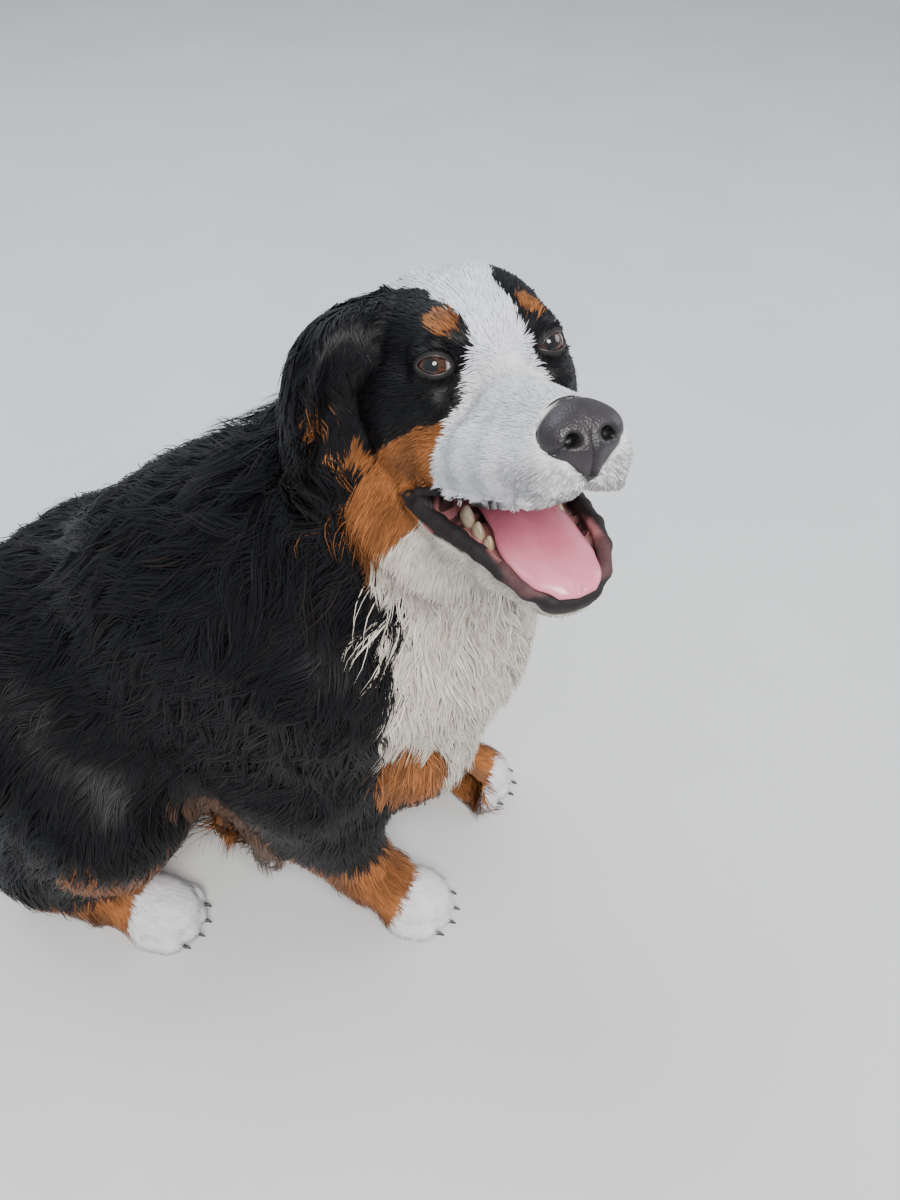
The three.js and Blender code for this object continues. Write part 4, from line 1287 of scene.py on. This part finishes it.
ball_points, ball_faces = round_ball(5)
nose_points = settle(ball_points * [19, 25, 22] + [106, 0, -46], nose_shape, 0, turns=10)
x, y, z = nose_points.T
side = np.abs(y)
nostril = np.sqrt(((side - 10.5) / 5.6) ** 2 + ((z + 45.5) / 5.0) ** 2)
slit_line = -47 - 0.55 * (side - 12) + 0.02 * (side - 12) ** 2
slit = np.exp(-(((z - slit_line) / 1.5) ** 2)) * smooth(side, 11, 14) * smooth(side, 25, 20)
philtrum = np.exp(-((y / 1.2) ** 2)) * smooth(-z, 40, 47)
sunk = 9 * smooth(nostril, 1.0, 0.35) + 3.4 * slit + 2.2 * philtrum
nose_points[:, 0] -= sunk * smooth(x, 100, 108)
# painted shade: the nostrils are near black, the leather's own dark deepened as if shaded deep inside them
nose_tint = mix(LEATHER, NOSTRIL_SHADE, smooth(nostril, 1.05, 0.55))
# painted shade: the slits and the groove below the nose are darkened in their creases
nose_tint *= (1 - 0.55 * np.maximum(slit, philtrum))[:, None]
nose = mesh_piece("nose_leather", from_head(nose_points), ball_faces, nose_look, tint=nose_tint)
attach(nose, "root")
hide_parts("nose")

# Mouth
tongue_look = mottled(
    "tongue", 0.38, 35, (0.25, (0.60, 0.14, 0.20)), (0.75, (0.74, 0.25, 0.32)),
    Coat_Weight=0.45, Coat_Roughness=0.15, Subsurface_Weight=0.12, Subsurface_Scale=0.004,
)
bump(tongue_look, noise(tongue_look, 1400, 2), 0.35, 0.0004)
TONGUE = [
    ([-42, 0, -79], 14, 5.7), ([-20, 1, -76], 20, 7.7), ([5, 3, -73], 24, 8.2), ([30, 3, -70], 27, 7.7),
    ([55, -1, -68], 29, 7.2), ([78, -2, -66], 27.5, 6.7), ([94, 0, -67], 22, 5.7), ([104, 0, -71], 13, 4.3),
]
points, faces = sweep(TONGUE, (0, 1, 0), 40, groove=3.5)
tongue = mesh_piece("tongue_flesh", from_head(jaw_in_head(points)), faces, tongue_look)
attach(tongue, "root")
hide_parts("tongue")

tooth_look = mottled(
    "teeth", 0.28, 160, (0.3, (0.42, 0.30, 0.16)), (0.7, (0.66, 0.56, 0.40)), Coat_Weight=0.3,
)
ball_points, ball_faces = round_ball(3)


def tooth(place, size, height):
    """A rounded crown that narrows to a blunt point, in the shut jaw's frame."""
    taper = 1 - 0.45 * smooth(ball_points[:, 2], -0.2, 1.0)
    sides = [size[0] * taper, size[1] * taper, np.full(len(taper), height)]
    return ball_points * np.column_stack(sides) + np.array(place, float)


TEETH = [
    # place, half length and half width, and half height
    ([0, 31, -74], (9, 4.8), 9.5), ([17, 30, -75], (7.5, 4.4), 8), ([31, 28, -76], (5.5, 4), 6.5),
    ([78, 17.5, -78], (4.5, 4), 17), ([85, 8.5, -80], (2.6, 2.4), 6.5), ([86, 2.9, -80], (2.6, 2.4), 6),
]
points, faces = [], []
for place, size, height in TEETH:
    for sign in (1, -1):
        crown = tooth([place[0], sign * place[1], place[2]], size, height)
        faces.append(ball_faces + sum(map(len, points)))
        points.append(crown)
teeth = mesh_piece("teeth", from_head(jaw_in_head(np.vstack(points))), np.vstack(faces), tooth_look)
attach(teeth, "root")

# Claws
claw_look = mottled(
    "claw_horn", 0.34, 260, (0.3, (0.012, 0.010, 0.010)), (0.7, (0.07, 0.055, 0.045)),
    stretch=(0.3, 1, 1), Coat_Weight=0.15,
)
for name in (n for n in nodes if n.startswith("claw")):
    low, high = (to_dog(corner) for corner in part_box(name))
    middle = (low + high) / 2
    stations = [
        ([low[0] - 6, middle[1], high[2] - 1.6], 2.4, 2.8), ([low[0], middle[1], high[2] - 2.4], 2.2, 2.6),
        ([middle[0], middle[1], middle[2]], 1.7, 2.0), ([high[0] - 1.2, middle[1], low[2] + 1.0], 0.7, 0.8),
    ]
    points, faces = sweep(stations, (0, 1, 0), 14, steps=5)
    claw = mesh_piece(name + "_horn", points, faces, claw_look)
    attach(claw, "root")
    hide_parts(name)

# Stage, light and camera
floor_look = mottled("floor", 0.75, 3, (0.3, (0.60, 0.60, 0.59)), (0.7, (0.64, 0.64, 0.63)))
FLOOR_HALF = 12  # metres
corners = [(-1, -1, 0), (1, -1, 0), (1, 1, 0), (-1, 1, 0)]
floor_mesh = bpy.data.meshes.new("floor")
floor_mesh.from_pydata([Vector(c) * FLOOR_HALF for c in corners], [], [(0, 1, 2, 3)])
floor_mesh.materials.append(floor_look)
floor_piece = bpy.data.objects.new("floor", floor_mesh)
bpy.context.scene.collection.objects.link(floor_piece)


def area_light(name, place, target, size, power, colour):
    data = bpy.data.lights.new(name, "AREA")
    data.shape = "DISK"
    data.size = size
    data.energy = power
    data.color = colour
    light = bpy.data.objects.new(name, data)
    bpy.context.scene.collection.objects.link(light)
    light.location = place
    light.rotation_euler = (Vector(target) - Vector(place)).to_track_quat("-Z", "Y").to_euler()


MIDDLE = (0.2, 0, 0.4)
area_light("key", (1.5, -1.9, 3.1), MIDDLE, 1.6, 175, (1.0, 0.98, 0.95))
area_light("sky", (-1.6, 1.2, 3.2), MIDDLE, 2.6, 70, (0.86, 0.93, 1.0))
area_light("side", (2.8, 1.6, 1.6), MIDDLE, 1.8, 30, (1.0, 1.0, 1.0))
world = bpy.data.worlds.new("soft_sky")
world.use_nodes = True
world.node_tree.nodes["Background"].inputs["Color"].default_value = (0.82, 0.88, 1.0, 1)
world.node_tree.nodes["Background"].inputs["Strength"].default_value = 0.8
bpy.context.scene.world = world

AZIMUTH, ELEVATION = math.radians(16), math.radians(45)
back = Vector((
    math.sin(AZIMUTH) * math.cos(ELEVATION), -math.cos(AZIMUTH) * math.cos(ELEVATION), math.sin(ELEVATION),
))
right = Vector((math.cos(AZIMUTH), math.sin(AZIMUTH), 0))
top = back.cross(right)
camera_data = bpy.data.cameras.new("camera")
camera_data.sensor_width = 36
camera_data.lens = 28.8  # 960 of the frame's 1200 rows, on a sensor 36 mm long
camera_data.clip_start = 0.02
camera = bpy.data.objects.new("camera", camera_data)
bpy.context.scene.collection.objects.link(camera)
camera.matrix_world = Matrix((
    (right.x, top.x, back.x, 0), (right.y, top.y, back.y, 0), (right.z, top.z, back.z, 0), (0, 0, 0, 1),
))
camera.location = Vector(to_metres(CAMERA_AT))
bpy.context.scene.camera = camera
